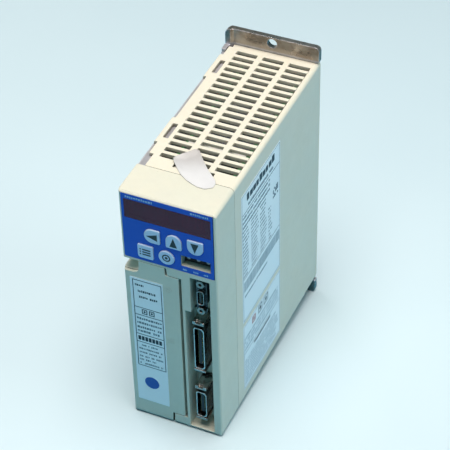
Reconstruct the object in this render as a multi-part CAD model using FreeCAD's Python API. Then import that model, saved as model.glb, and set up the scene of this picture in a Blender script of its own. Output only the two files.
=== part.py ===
import FreeCAD, Part
import math
import os

# Compact panel-mounted servo drive.
# Frame: X to the right seen from the front, Y towards the mounting panel, Z up.
# The origin is the centre of the two-hole mounting pattern on the back mounting face.
# All dimensions in millimetres.

Vector = FreeCAD.Vector
os.makedirs("parts", exist_ok=True)

# ---------------------------------------------------------------- driving dimensions
# case
CASE_RIGHT = 25.0
CASE_LEFT = -24.2                      # left face of the bezel and terminal cover
COVER_LEFT = -24.1                     # left edge of the main cover
HALF_H = 72.5                          # half the case height
FRONT_Y = -128.0                       # front plane
SEAM_Y = -107.2                        # seam between main cover and front bezel
WALL = 1.9                             # plastic wall
INNER_H = HALF_H - WALL                # inside half height
COVER_SCREW_X, COVER_SCREW_Z = 18.0, (60.0, -60.0)

# chassis
METAL_LEFT = -25.0
METAL_FRONT = -106.8
PLATE_T = 3.0                          # back plate thickness
PLATE_RIGHT = 23.2                     # right end of the back plate inside the case
LUG_RIGHT = 25.2
LUG_H = 9.0                            # lug height above and below the case
HOLE_Z, HOLE_R = 78.0, 2.6             # two mounting holes, 156 apart
SIDE_T = 2.0                           # left wall thickness
WALL_FACE = METAL_LEFT + SIDE_T        # inner face of the left wall
SEAT_FACE = WALL_FACE + 1.2            # face of the power module seat
FLANGE_Z, FLANGE_T, FLANGE_W = 70.5, 1.5, 6.2
EARTH_X, EARTH_Z = (-18.8, -11.3), -65.4
MODULE_SCREWS = ((-84.0, -13.0), (-42.0, -13.0))     # (y, z)
RECTIFIER_Y, RECTIFIER_Z = -24.0, -30.0
TAP_R = 1.55                           # tapped hole for the small screws

# vents
VENT_ROWS, VENT_PITCH = 19, 4.886
VENT_Y0 = -97.2                        # front row centre
VENT_W = 2.85
VENT_COLUMNS = ((-16.6, -5.5), (-2.5, 8.6), (11.4, 22.5))     # x spans

# operator panel; rectangles are x0, x1, z0, z1
PANEL = (-22.2, 23.5, 33.6, 71.6)
PANEL_T = 0.4
WINDOW = (-20.9, 22.3, 57.8, 68.7)
PIN_BAY = (6.8, 21.8, 36.9, 43.5)      # check pin recess
KEY = 8.0                              # key face size
KEY_PROUD = 0.7
# name: centre x, centre z, corner sizes from lower left anticlockwise
# (L large, M medium, S small); None is a round key
KEYS = {
    "left": (-7.2, 50.4, "LSSL"),
    "up": (3.7, 50.4, "SSLL"),
    "down": (14.5, 50.4, "LLSS"),
    "mode": (-11.0, 39.7, "MSSS"),
    "set": (-0.3, 39.7, None),
}

# terminal cover and its opening
DOOR_T = 1.6
HINGE_X, HINGE_Y = 2.8, -125.6
HINGE_R = 2.4                          # barrel radius
PIN_R = 1.2                            # moulded hinge pin radius
PIN_GAP = 0.05                         # running clearance on the pin radius
DOOR_TOP, DOOR_STEP_TOP = 32.1, 27.8
DOOR_BOTTOM, DOOR_STEP_BOTTOM = -72.5, -65.2
STEP_X = -1.7                          # where the cover steps down
OPENING_TOP = DOOR_STEP_TOP + 0.3      # opening beside the hinge
OPENING_BOTTOM = DOOR_STEP_BOTTOM - 0.25
OPENING_RIGHT = 6.3
SCOOP_X, SCOOP_Z, SCOOP_BACK, SCOOP_R = -15.5, 24.4, -118.2, 3.4     # finger scoop
LEDGE_Z = 32.3                         # underside of the ledge below the operator panel

# connector bay and connectors
BAY_LEFT, BAY_UPPER_LEFT, BAY_RIGHT = 7.7, 10.8, 20.8
BAY_TOP, BAY_STEP, BAY_BOTTOM = 30.8, 8.9, -70.4
BAY_BACK = -118.0
CONNECTOR_X = 13.7
PITCH = 1.27                           # contact pitch
# name: ways, shell top, shell length
CONNECTORS = {
    "io_connector": (36, -2.1, 27.1),
    "signal_connector": (20, -45.9, 16.94),
}
SHELL_W, SHELL_T = 5.4, 0.45
SERIAL_X, SERIAL_Z = 15.5, 18.6
SERIAL_SCREWS = 8.3                    # jackscrews, from the serial connector's centre

# boards
POWER_LEFT, POWER_RIGHT = -13.6, -12.0
CONTROL_LEFT, CONTROL_RIGHT = 17.5, 19.1
DISPLAY_FRONT, DISPLAY_BACK = -118.6, -117.0
POSTS = ((-98.0, 62.0), (-98.0, -62.0), (-22.0, 62.0), (-22.0, -62.0))     # (y, z)
DISPLAY_POSTS = ((-18.6, 54.0), (21.2, 56.6), (-18.6, 36.8))               # (x, z)
TEST_PIN_X, TEST_PIN_Z = (9.4, 14.3, 19.2), 40.2
SWITCH_FRONT = DISPLAY_FRONT - 3.5     # front of the tact switch bodies
PLUNGER_Y = SWITCH_FRONT - 1.5         # front of the plungers

# terminal block
BLOCK_LEFT, BLOCK_RIGHT = -19.5, -2.5
BLOCK_FRONT, BLOCK_BACK = -117.4, -103.5
BLOCK_BOTTOM, BLOCK_TOP = -58.0, 20.0
TERMINALS = 8
TERMINAL_Y = -110.0                    # front of the terminal plates
TERMINAL_PLATE_T = 0.8


# ---------------------------------------------------------------- helpers
def box(x0, x1, y0, y1, z0, z1):
    """Block between two values on each axis, given in either order."""
    size = (abs(x1 - x0), abs(y1 - y0), abs(z1 - z0))
    return Part.makeBox(*size, Vector(min(x0, x1), min(y0, y1), min(z0, z1)))


def cylinder(radius, start, axis, length):
    return Part.makeCylinder(radius, length, Vector(*start), Vector(*axis))


def cyl_x(radius, x, y, z, length):
    return cylinder(radius, (x, y, z), (1, 0, 0), length)


def cyl_y(radius, x, y, z, length):
    return cylinder(radius, (x, y, z), (0, 1, 0), length)


def cyl_z(radius, x, y, z, length):
    return cylinder(radius, (x, y, z), (0, 0, 1), length)


def cone_y(radius0, radius1, x, y, z, length):
    return Part.makeCone(radius0, radius1, length, Vector(x, y, z), Vector(0, 1, 0))


def fuse(first, *others):
    for other in others:
        first = first.fuse(other)
    return first.removeSplitter()


def cut(shape, *tools):
    for tool in tools:
        shape = shape.cut(tool)
    return shape


def line(start, end):
    return Part.LineSegment(start, end).toShape()


def outline(corners, place):
    """Face through corners (a, b) or (a, b, radius); place turns a and b into a point."""
    starts, middles, ends = [], [], []
    for index, corner in enumerate(corners):
        point = Vector(corner[0], corner[1], 0)
        radius = corner[2] if len(corner) > 2 else 0.0
        if radius <= 0:
            starts.append(point)
            middles.append(None)
            ends.append(point)
            continue
        following = corners[(index + 1) % len(corners)]
        back = Vector(*corners[index - 1][:2], 0) - point
        ahead = Vector(*following[:2], 0) - point
        back.normalize()
        ahead.normalize()
        half_angle = back.getAngle(ahead) / 2
        trim = radius / math.tan(half_angle)
        bisector = back + ahead
        bisector.normalize()
        centre = point + bisector * (radius / math.sin(half_angle))
        starts.append(point + back * trim)
        middles.append(centre - bisector * radius)
        ends.append(point + ahead * trim)
    edges = []
    for index, (start, middle, end) in enumerate(zip(starts, middles, ends)):
        if middle is not None:
            arc_points = [place(point.x, point.y) for point in (start, middle, end)]
            edges.append(Part.Arc(*arc_points).toShape())
        next_start = starts[(index + 1) % len(corners)]
        if (next_start - end).Length > 1e-6:
            edges.append(line(place(end.x, end.y), place(next_start.x, next_start.y)))
    return Part.Face(Part.Wire(edges))


def prism_x(corners, x0, x1):
    """y-z outline carried along x."""
    return outline(corners, lambda a, b: Vector(x0, a, b)).extrude(Vector(x1 - x0, 0, 0))


def prism_y(corners, y0, y1):
    """x-z outline carried along y."""
    return outline(corners, lambda a, b: Vector(a, y0, b)).extrude(Vector(0, y1 - y0, 0))


def prism_z(corners, z0, z1):
    """x-y outline carried along z."""
    return outline(corners, lambda a, b: Vector(a, b, z0)).extrude(Vector(0, 0, z1 - z0))


def rounded_rect(a0, a1, b0, b1, radius):
    return [(a0, b0, radius), (a1, b0, radius), (a1, b1, radius), (a0, b1, radius)]


def grown(rect, margin):
    a0, a1, b0, b1 = rect
    return (a0 - margin, a1 + margin, b0 - margin, b1 + margin)


def hexagon(a, b, across_flats):
    radius = across_flats / math.sqrt(3)
    angles = [math.radians(60 * i) for i in range(6)]
    return [(a + radius * math.cos(angle), b + radius * math.sin(angle)) for angle in angles]


def cut_cross(head, x, z, y0, y1, reach, half_width):
    """Cross recess in a screw head that lies along y."""
    return cut(head, box(x - reach, x + reach, y0, y1, z - half_width, z + half_width),
               box(x - half_width, x + half_width, y0, y1, z - reach, z + reach))


def save(name, *shapes):
    """Write all solids of the shapes to one file."""
    solids = [solid for shape in shapes for solid in shape.Solids]
    for solid in solids:
        # repairs a solid that the booleans left faulty
        if not solid.isValid() or solid.Volume <= 0:
            solid.fix(1e-5, 1e-5, 1e-4)
    result = solids[0] if len(solids) == 1 else Part.makeCompound(solids)
    result.exportStep("parts/%s.step" % name)


# ---------------------------------------------------------------- case envelope
def case_outline(inset=0.0, left=CASE_LEFT):
    """Front view outline of the plastic case; inset shrinks it for the inside."""
    left_radius = max(1.2 - inset * 0.4, 0.4)
    top, right = HALF_H - inset, CASE_RIGHT - inset
    return [(left + inset, top, left_radius),
            (right, top, max(2.4 - inset * 0.7, 0.6)),
            (right, -top, max(3.0 - inset * 0.7, 0.8)),
            (left + inset, -top, left_radius)]


def build_envelope():
    """Outside of the front part, from the front plane to the seam."""
    front_view = prism_y(case_outline(), FRONT_Y, SEAM_Y)
    # rounded front top and bottom edges
    side_view = prism_x([(FRONT_Y, HALF_H, 1.5), (FRONT_Y, -HALF_H, 2.2),
                         (SEAM_Y, -HALF_H), (SEAM_Y, HALF_H)], -30, 30)
    # long soft rounding at the left front edge, small one at the right
    kappa = 0.5523                     # Bezier handle length for a quarter ellipse
    round_x, round_y, round_right = 2.0, 5.0, 1.3
    curve_x, curve_y = CASE_LEFT + round_x, FRONT_Y + round_y

    def low(x, y):
        return Vector(x, y, -HALF_H)

    bezier = Part.BezierCurve()
    bezier.setPoles([low(CASE_LEFT, curve_y), low(CASE_LEFT, curve_y - round_y * kappa),
                     low(curve_x - round_x * kappa, FRONT_Y), low(curve_x, FRONT_Y)])
    sagitta = round_right * (1 - math.sqrt(0.5))
    arc_start = low(CASE_RIGHT - round_right, FRONT_Y)
    arc_middle = low(CASE_RIGHT - sagitta, FRONT_Y + sagitta)
    arc_end = low(CASE_RIGHT, FRONT_Y + round_right)
    edges = [bezier.toShape(),
             line(low(curve_x, FRONT_Y), arc_start),
             Part.Arc(arc_start, arc_middle, arc_end).toShape(),
             line(arc_end, low(CASE_RIGHT, SEAM_Y)),
             line(low(CASE_RIGHT, SEAM_Y), low(CASE_LEFT, SEAM_Y)),
             line(low(CASE_LEFT, SEAM_Y), low(CASE_LEFT, curve_y))]
    top_view = Part.Face(Part.Wire(edges)).extrude(Vector(0, 0, 2 * HALF_H))
    return front_view.common(side_view).common(top_view)


ENVELOPE = build_envelope()


# ---------------------------------------------------------------- chassis
def build_plate():
    """Back plate with its lugs and the bend at its left end."""
    lug_top = HALF_H + LUG_H
    plate = box(METAL_LEFT + 7.0, PLATE_RIGHT, -PLATE_T, 0.0, -HALF_H - 1.0, HALF_H + 1.0)
    bend = prism_z([(METAL_LEFT, -0.02, 3.4), (METAL_LEFT, -9.0, 0.8),
                    (METAL_LEFT + 2.4, -9.0, 0.8), (METAL_LEFT + 2.4, -PLATE_T - 0.1),
                    (METAL_LEFT + 8, -PLATE_T), (METAL_LEFT + 8, -0.02)], -lug_top, lug_top)
    fillet_r, fillet_x = 2.8, METAL_LEFT + 5.2
    inner_fillet = cut(
        box(METAL_LEFT + 2.2, fillet_x, -PLATE_T - fillet_r, -PLATE_T + 0.2, -lug_top, lug_top),
        cyl_z(fillet_r, fillet_x, -PLATE_T - fillet_r, -lug_top - 1, 2 * lug_top + 2))
    body = fuse(bend, inner_fillet)
    corner_r = 3.0
    corner_x = METAL_LEFT + corner_r
    for side in (1, -1):
        root, end = side * (HALF_H + 0.35), side * lug_top
        lug = prism_y([(METAL_LEFT + 6.0, root), (LUG_RIGHT, root, 0.8),
                       (LUG_RIGHT, end, 2.4), (METAL_LEFT + 6.0, end)], -PLATE_T, 0.0)
        plate = fuse(plate, lug)
        # outside the case only the root of the forward wall is left
        beyond = side * (lug_top + 1)
        body = cut(body, box(METAL_LEFT - 1, METAL_LEFT + 9, -10, -4.1, side * HALF_H, beyond))
        # rounded outer corner
        corner_z = side * (lug_top - corner_r)
        corner = cut(box(METAL_LEFT - 1, corner_x, -11, 1, corner_z, beyond),
                     cyl_y(corner_r, corner_x, -12, corner_z, 14))
        body = cut(body, corner)
    return fuse(body, plate)


def build_chassis():
    body = build_plate()
    wall = box(METAL_LEFT, WALL_FACE, METAL_FRONT, -2.0, -FLANGE_Z, FLANGE_Z)
    flanges = [box(METAL_LEFT, METAL_LEFT + FLANGE_W, METAL_FRONT, -1.5,
                   side * (FLANGE_Z - FLANGE_T), side * FLANGE_Z) for side in (1, -1)]
    body = fuse(body, wall, *flanges)
    # rounded outer bends of the flanges
    bend_r = 1.5
    for side in (1, -1):
        edge_z = side * FLANGE_Z
        centre_z = edge_z - side * bend_r
        corner = cut(box(METAL_LEFT - 0.5, METAL_LEFT + bend_r, METAL_FRONT - 0.1, -9.2,
                         centre_z, edge_z + side * 0.5),
                     cyl_y(bend_r, METAL_LEFT + bend_r, -107.5, centre_z, 100))
        body = cut(body, corner)
    # thick seat for the power module
    seat = box(WALL_FACE - 0.1, SEAT_FACE, -88, -38, -46, 20)
    # earth tab, turned in at the front of the left wall
    tab = box(METAL_LEFT + 0.5, -7.4, METAL_FRONT, -104.9, -FLANGE_Z, -60.5)
    body = fuse(body, seat, tab)
    # mounting holes
    for z in (HOLE_Z, -HOLE_Z):
        body = cut(body, cyl_y(HOLE_R, 0, -10, z, 20))
    # countersunk holes for the cover screws
    for z in COVER_SCREW_Z:
        body = cut(body, cyl_y(1.7, COVER_SCREW_X, -10, z, 20),
                   cone_y(1.7, 3.4, COVER_SCREW_X, -1.7, z, 1.71))
    # tapped holes for module, rectifier, earth screws and board posts
    for y, z in MODULE_SCREWS:
        body = cut(body, cyl_x(TAP_R, METAL_LEFT + 0.9, y, z, 8))
    body = cut(body, cyl_x(TAP_R, METAL_LEFT + 0.6, RECTIFIER_Y, RECTIFIER_Z, 8))
    for x in EARTH_X:
        body = cut(body, cyl_y(2.05, x, -110, EARTH_Z, 10))
    for y, z in POSTS:
        body = cut(body, cyl_x(TAP_R, METAL_LEFT + 0.6, y, z, 5))
    return body


save("heatsink_chassis", build_chassis())


# ---------------------------------------------------------------- main cover
def wall_span(side):
    """z range that cuts through the top (1) or bottom (-1) wall."""
    return sorted((side * (INNER_H - 1), side * (HALF_H + 1)))


def vent_cutters(side):
    cutters = []
    for i in range(VENT_ROWS):
        centre_y = VENT_Y0 + i * VENT_PITCH
        for x0, x1 in VENT_COLUMNS:
            slot = rounded_rect(x0, x1, centre_y - VENT_W / 2, centre_y + VENT_W / 2, 0.4)
            cutters.append(prism_z(slot, *wall_span(side)))
    return cutters


def build_lip():
    """Inner lip that locates the bezel."""
    y0, y1 = SEAM_Y - 4, SEAM_Y + 4
    lip = cut(prism_y(case_outline(1.0, COVER_LEFT), SEAM_Y - 2.6, SEAM_Y + 1.5),
              prism_y(case_outline(WALL, COVER_LEFT), y0, y1))
    return cut(lip, box(COVER_LEFT - 1, -10.0, y0, y1, -100, 100),
               box(-9, 14, y0, y1, 60, 80), box(-9, 14, y0, y1, -80, -60))


# left edge notches in the top and bottom walls: y0, y1, x of the notch's right side
EDGE_NOTCHES = (
    (-13.3, 5.0, -22.1),
    (-69.0, -33.4, -22.1),
    (-97.8, -88.9, -22.1),
    (SEAM_Y - 0.5, -97.8, -19.8),
    (-5.6, 5.0, -20.2),
)
# slots through the same walls: x0, x1, y0, y1; the last takes the bezel's snap hook
WALL_SLOTS = (
    (-21.3, -18.6, -29.1, -18.0),
    (-21.3, -18.6, -84.9, -73.3),
    (-7.8, 12.7, -103.4, -100.5),
)


def build_cover():
    outer = prism_y(case_outline(0, COVER_LEFT), SEAM_Y + 0.15, -PLATE_T - 0.1)
    inner = prism_y(case_outline(WALL, COVER_LEFT), SEAM_Y - 1, 1)
    shell = cut(outer, inner)
    # open on the left: only the top and bottom walls reach there
    shell = cut(shell, box(COVER_LEFT - 1, COVER_LEFT + 6, SEAM_Y - 1, 0,
                           -INNER_H + 0.05, INNER_H - 0.05))
    # the right wall runs on past the plate's edge
    tail = cut(prism_y(case_outline(0, COVER_LEFT), -PLATE_T - 0.2, -0.2),
               box(-40, PLATE_RIGHT + 0.15, -10, 5, -100, 100))
    shell = fuse(shell, tail)
    shell = fuse(shell, build_lip())
    for side in (1, -1):
        z0, z1 = wall_span(side)
        for y0, y1, right in EDGE_NOTCHES:
            shell = cut(shell, box(-30, right, y0, y1, z0, z1))
        for slot in WALL_SLOTS:
            shell = cut(shell, prism_z(rounded_rect(*slot, 0.4), z0, z1))
    shell = shell.cut(Part.makeCompound(vent_cutters(1) + vent_cutters(-1)))
    # screw bosses at the rear, each tied to the right wall
    inner_right = CASE_RIGHT - WALL
    boss_front, boss_back = -13.0, -PLATE_T - 0.05
    for z in COVER_SCREW_Z:
        boss = fuse(cyl_y(3.6, COVER_SCREW_X, boss_front, z, boss_back - boss_front),
                    box(COVER_SCREW_X, inner_right + 0.1, boss_front, boss_back,
                        z - 1.5, z + 1.5))
        shell = fuse(shell, boss)
        shell = cut(shell, cyl_y(TAP_R, COVER_SCREW_X, boss_front + 1.0, z, 12))
    # stiffening ribs on the right wall
    for z in (34.0, 4.0, -34.0):
        shell = fuse(shell, box(inner_right - 1.6, inner_right + 0.1, -100.0, -16.0,
                                z - 0.6, z + 0.6))
    return shell


save("main_cover", build_cover())


# ---------------------------------------------------------------- front bezel
def key_prism(name, y0, y1, grow=0.0):
    x, z, corners = KEYS[name]
    half = KEY / 2 + grow
    if corners is None:
        return cyl_y(half, x, y0, z, y1 - y0)
    small = 0.7 + grow * 0.5
    radii = {"S": small, "M": small + 0.9, "L": half - 0.02}
    signs = ((-1, -1), (1, -1), (1, 1), (-1, 1))
    return prism_y([(x + half * sign_x, z + half * sign_z, radii[corner])
                    for (sign_x, sign_z), corner in zip(signs, corners)], y0, y1)


def scoop_cutter():
    """Finger scoop: open to the front, the left and the top, with soft inside corners."""
    block = box(-30.0, SCOOP_X, FRONT_Y - 4, SCOOP_BACK, SCOOP_Z, LEDGE_Z)
    inside_edges = []
    for edge in block.Edges:
        middle = edge.CenterOfMass
        offsets = (middle.x - SCOOP_X, middle.y - SCOOP_BACK, middle.z - SCOOP_Z)
        # an inside edge lies in two of the three closed sides
        if sum(abs(offset) < 1e-3 for offset in offsets) == 2:
            inside_edges.append(edge)
    return block.makeFillet(SCOOP_R, inside_edges)


def snap_tongue(side):
    """Tongue, root and hook that reach under the cover's top (1) or bottom (-1) wall."""
    x0, x1 = -7.0, 11.9
    outer, inner = side * (INNER_H - 0.15), side * (INNER_H - 1.75)
    root = side * (INNER_H + 0.1)
    hook = side * (HALF_H - 0.5)
    hook_base = outer - side * 0.1
    return [box(x0, x1, -110.5, -100.9, outer, inner),
            box(x0, x1, -112.0, -107.6, inner, root),
            prism_x([(-103.1, hook_base), (-101.0, hook_base), (-101.6, hook), (-103.1, hook)],
                    x0, x1)]


def bezel_additions():
    left, right = CASE_LEFT + WALL - 0.1, CASE_RIGHT - WALL + 0.1
    top, bottom = 33.0, -71.5          # ends of the inner walls
    front = FRONT_Y + 0.5
    parts = [
        # ledge under the operator panel
        box(left, right, front, -116.0, LEDGE_Z, 34.2),
        # hinge lugs
        box(-0.8, 7.0, FRONT_Y + 0.4, -122.6, 28.15, top),
        box(-0.8, 7.0, FRONT_Y + 0.4, -122.6, bottom, OPENING_BOTTOM),
        # finger scoop block
        box(left, -13.7, -126.15, -114.6, 22.2, top),
        # wall between terminal compartment and connector bay, stepped right above
        box(OPENING_RIGHT, BAY_LEFT, FRONT_Y + 0.1, -110.0, bottom, top),
        box(9.4, BAY_UPPER_LEFT, front, -116.5, BAY_STEP, top),
        box(OPENING_RIGHT, BAY_UPPER_LEFT, front, -116.5, BAY_STEP, 10.3),
        # connector bay: back wall and right wall
        box(7.0, right, BAY_BACK, BAY_BACK + 1.5, bottom, top),
        box(BAY_RIGHT, BAY_RIGHT + 1.4, front, BAY_BACK + 0.5, bottom, top),
        # frame behind the terminal cover
        cut(box(left, 7.0, -121.6, -120.0, bottom, 23.0),
            box(-20.6, 0.2, -125, -115, -69.2, 21.0)),
    ]
    # posts for the display board
    post_front = FRONT_Y + 1.5
    for x, z in DISPLAY_POSTS:
        parts.append(cyl_y(1.85, x, post_front, z, DISPLAY_FRONT - post_front))
    # walls of the check pin recess
    x0, x1, z0, z1 = PIN_BAY
    parts.append(cut(box(x0 - 1.1, x1 + 1.0, FRONT_Y + 0.6, -119.2, z0 - 1.1, z1 + 1.1),
                     box(x0, x1, -140, -110, z0, z1)))
    return parts + snap_tongue(1) + snap_tongue(-1)


def panel_cutters():
    """Seat of the operator panel sheet, window, keys and check pin recess."""
    ahead, seat = FRONT_Y - 1, FRONT_Y + PANEL_T
    panel_left, _, panel_bottom, panel_top = PANEL
    x0, x1, z0, z1 = WINDOW
    tools = [
        prism_y(rounded_rect(*grown(PANEL, 0.1), 0.4), ahead, seat),
        box(panel_left - 3, panel_left + 0.5, ahead, seat, panel_bottom - 0.1, panel_top + 0.1),
        prism_y(rounded_rect(*grown(WINDOW, 0.1), 0.4), ahead, FRONT_Y + 1.3),
        box(x0 + 1.6, x1 - 1.6, FRONT_Y, FRONT_Y + 4, z0 + 1.4, z1 - 1.4),
    ]
    tools += [key_prism(name, ahead, FRONT_Y + 4, 0.2) for name in KEYS]
    x0, x1, z0, z1 = PIN_BAY
    return tools + [box(x0, x1, ahead, -119.0, z0, z1)]


def door_cutters():
    """Opening for the terminal cover, finger scoop and hinge pin holes."""
    step_right = STEP_X + 0.9
    inner_left = CASE_LEFT + WALL
    room_front, room_back = -127, -121.6
    tools = [
        # panel, left return and bottom return
        prism_y([(-30, DOOR_TOP + 0.2), (STEP_X + 0.5, DOOR_TOP + 0.2, 0.6),
                 (step_right, OPENING_TOP), (OPENING_RIGHT, OPENING_TOP),
                 (OPENING_RIGHT, OPENING_BOTTOM), (step_right, OPENING_BOTTOM),
                 (STEP_X + 0.5, -80), (-30, -80)], FRONT_Y - 1, -126.15),
        box(-30, -22.0, room_front, -121.75, -80, 22.3),
        box(-30, -1.0, room_front, -121.75, -80, -68.5),
        scoop_cutter(),
        # room behind the cover
        box(inner_left, OPENING_RIGHT, room_front, room_back, OPENING_BOTTOM, 22.2),
        box(inner_left, -1.0, room_front, room_back, -68.5, 22.2),
        box(-13.7, -0.8, room_front, room_back, 20.0, LEDGE_Z),
        box(-0.9, OPENING_RIGHT, room_front, room_back, 20.0, OPENING_TOP),
    ]
    for z, side in ((DOOR_STEP_TOP, 1), (DOOR_STEP_BOTTOM, -1)):
        tools.append(cylinder(PIN_R + PIN_GAP, (HINGE_X, HINGE_Y, z - side), (0, 0, side), 3.8))
    return tools


def bay_cutters():
    """Connector bay and the openings in its back wall."""
    front = BAY_BACK - 1
    tools = [
        prism_y([(BAY_UPPER_LEFT, BAY_STEP), (BAY_UPPER_LEFT, BAY_TOP, 0.5),
                 (BAY_RIGHT, BAY_TOP, 0.5), (BAY_RIGHT, BAY_BOTTOM, 0.5),
                 (BAY_LEFT, BAY_BOTTOM, 0.5), (BAY_LEFT, BAY_STEP, 0.4)],
                FRONT_Y - 1, BAY_BACK),
        box(12.6, 17.4, front, BAY_BACK + 3, SERIAL_Z - 6.9, SERIAL_Z + 6.9),
    ]
    for _, top, length in CONNECTORS.values():
        tools.append(box(10.5, 16.95, front, BAY_BACK + 3, top - length - 1.6, top + 4.8))
    # shallow groove above each half-pitch connector
    for _, top, _ in CONNECTORS.values():
        tools.append(box(7.6, 20.7, front, BAY_BACK + 0.9, top + 5.4, top + 6.6))
    return tools


def build_bezel():
    body = cut(ENVELOPE, prism_y(case_outline(WALL), FRONT_Y + 2.0, SEAM_Y + 1))
    # rebate that takes the cover's lip
    body = cut(body, cut(prism_y(case_outline(0.9), SEAM_Y - 2.8, SEAM_Y + 1),
                         box(-30, -10.2, -140, 0, -100, 100)))
    body = fuse(body, *bezel_additions())
    # screw holes in the display board posts
    post_holes = [cyl_y(1.05, x, FRONT_Y + 3.0, z, 12) for x, z in DISPLAY_POSTS]
    return cut(body, *panel_cutters(), *door_cutters(), *bay_cutters(), *post_holes)


save("front_bezel", build_bezel())


# ---------------------------------------------------------------- operator panel
def build_overlay():
    y0, y1 = FRONT_Y - 1, FRONT_Y + 1
    sheet = prism_y(rounded_rect(*PANEL, 0.35), FRONT_Y, FRONT_Y + PANEL_T)
    sheet = cut(sheet, prism_y(rounded_rect(*grown(WINDOW, 0.05), 0.4), y0, y1))
    for name in KEYS:
        sheet = cut(sheet, key_prism(name, y0, y1, 0.15))
    left, right, bottom, top = PIN_BAY
    return cut(sheet, box(left, right, y0, y1, bottom, top))


def build_key(name):
    """Key cap with its retaining flange and the stem to the plunger."""
    x, z, _ = KEYS[name]
    face_y = FRONT_Y - KEY_PROUD
    flange_y, stem_y = FRONT_Y + 2.05, FRONT_Y + 2.5
    cap = key_prism(name, face_y, flange_y)
    # guards the rim fillet: a key whose rim cannot be rounded stays sharp
    try:
        rim = [edge for edge in cap.Edges
               if abs(edge.BoundBox.YMin - face_y) < 1e-4
               and abs(edge.BoundBox.YMax - face_y) < 1e-4]
        cap = cap.makeFillet(0.35, rim)
    except Exception:
        pass
    flange = key_prism(name, flange_y, flange_y + 0.8, 0.75)
    return fuse(cap, flange, cyl_y(1.9, x, stem_y, z, PLUNGER_Y - stem_y))


def build_switch(x, z):
    return cut(box(x - 3, x + 3, SWITCH_FRONT, DISPLAY_FRONT, z - 3, z + 3),
               cyl_y(1.66, x, SWITCH_FRONT - 1, z, 2.1))


save("panel_overlay", build_overlay())
save("display_window", prism_y(rounded_rect(*WINDOW, 0.35), FRONT_Y, FRONT_Y + 1.25))
for key_name, (x, z, _) in KEYS.items():
    save("key_" + key_name, build_key(key_name))
    save("plunger_" + key_name, cyl_y(1.6, x, PLUNGER_Y, z, 2.1))
save("tact_switches", *[build_switch(x, z) for x, z, _ in KEYS.values()])


def build_display_board():
    board = box(-21.4, 22.4, DISPLAY_FRONT, DISPLAY_BACK, 35.4, 69.6)
    for x, z in DISPLAY_POSTS:
        board = cut(board, cyl_y(1.15, x, DISPLAY_FRONT - 1, z, 4))
    for x in TEST_PIN_X:
        board = cut(board, cyl_y(0.55, x, DISPLAY_FRONT - 1, TEST_PIN_Z, 4))
    return board


def build_pin_header():
    header = box(8.0, 20.6, DISPLAY_FRONT - 2.5, DISPLAY_FRONT,
                 TEST_PIN_Z - 1.5, TEST_PIN_Z + 1.5)
    for x in TEST_PIN_X:
        header = cut(header, cyl_y(0.55, x, DISPLAY_FRONT - 4, TEST_PIN_Z, 6))
    return header


save("display_board", build_display_board())
# two digit blocks side by side behind the window
DIGIT_W, DIGIT_PITCH = 18.6, 19.0
save("display_digits", *[box(left, left + DIGIT_W, -125.9, DISPLAY_FRONT, 58.8, 68.0)
                         for left in (-18.6, -18.6 + DIGIT_PITCH)])
save("display_board_screws", *[
    fuse(cyl_y(1.0, x, DISPLAY_BACK - 6.5, z, 6.6), cyl_y(1.8, x, DISPLAY_BACK, z, 1.3))
    for x, z in DISPLAY_POSTS])
save("test_pin_header", build_pin_header())
save("test_pins", *[
    fuse(cyl_y(0.5, x, -124.6, TEST_PIN_Z, 8.4), cyl_y(0.9, x, -124.9, TEST_PIN_Z, 1.2))
    for x in TEST_PIN_X])


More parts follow.
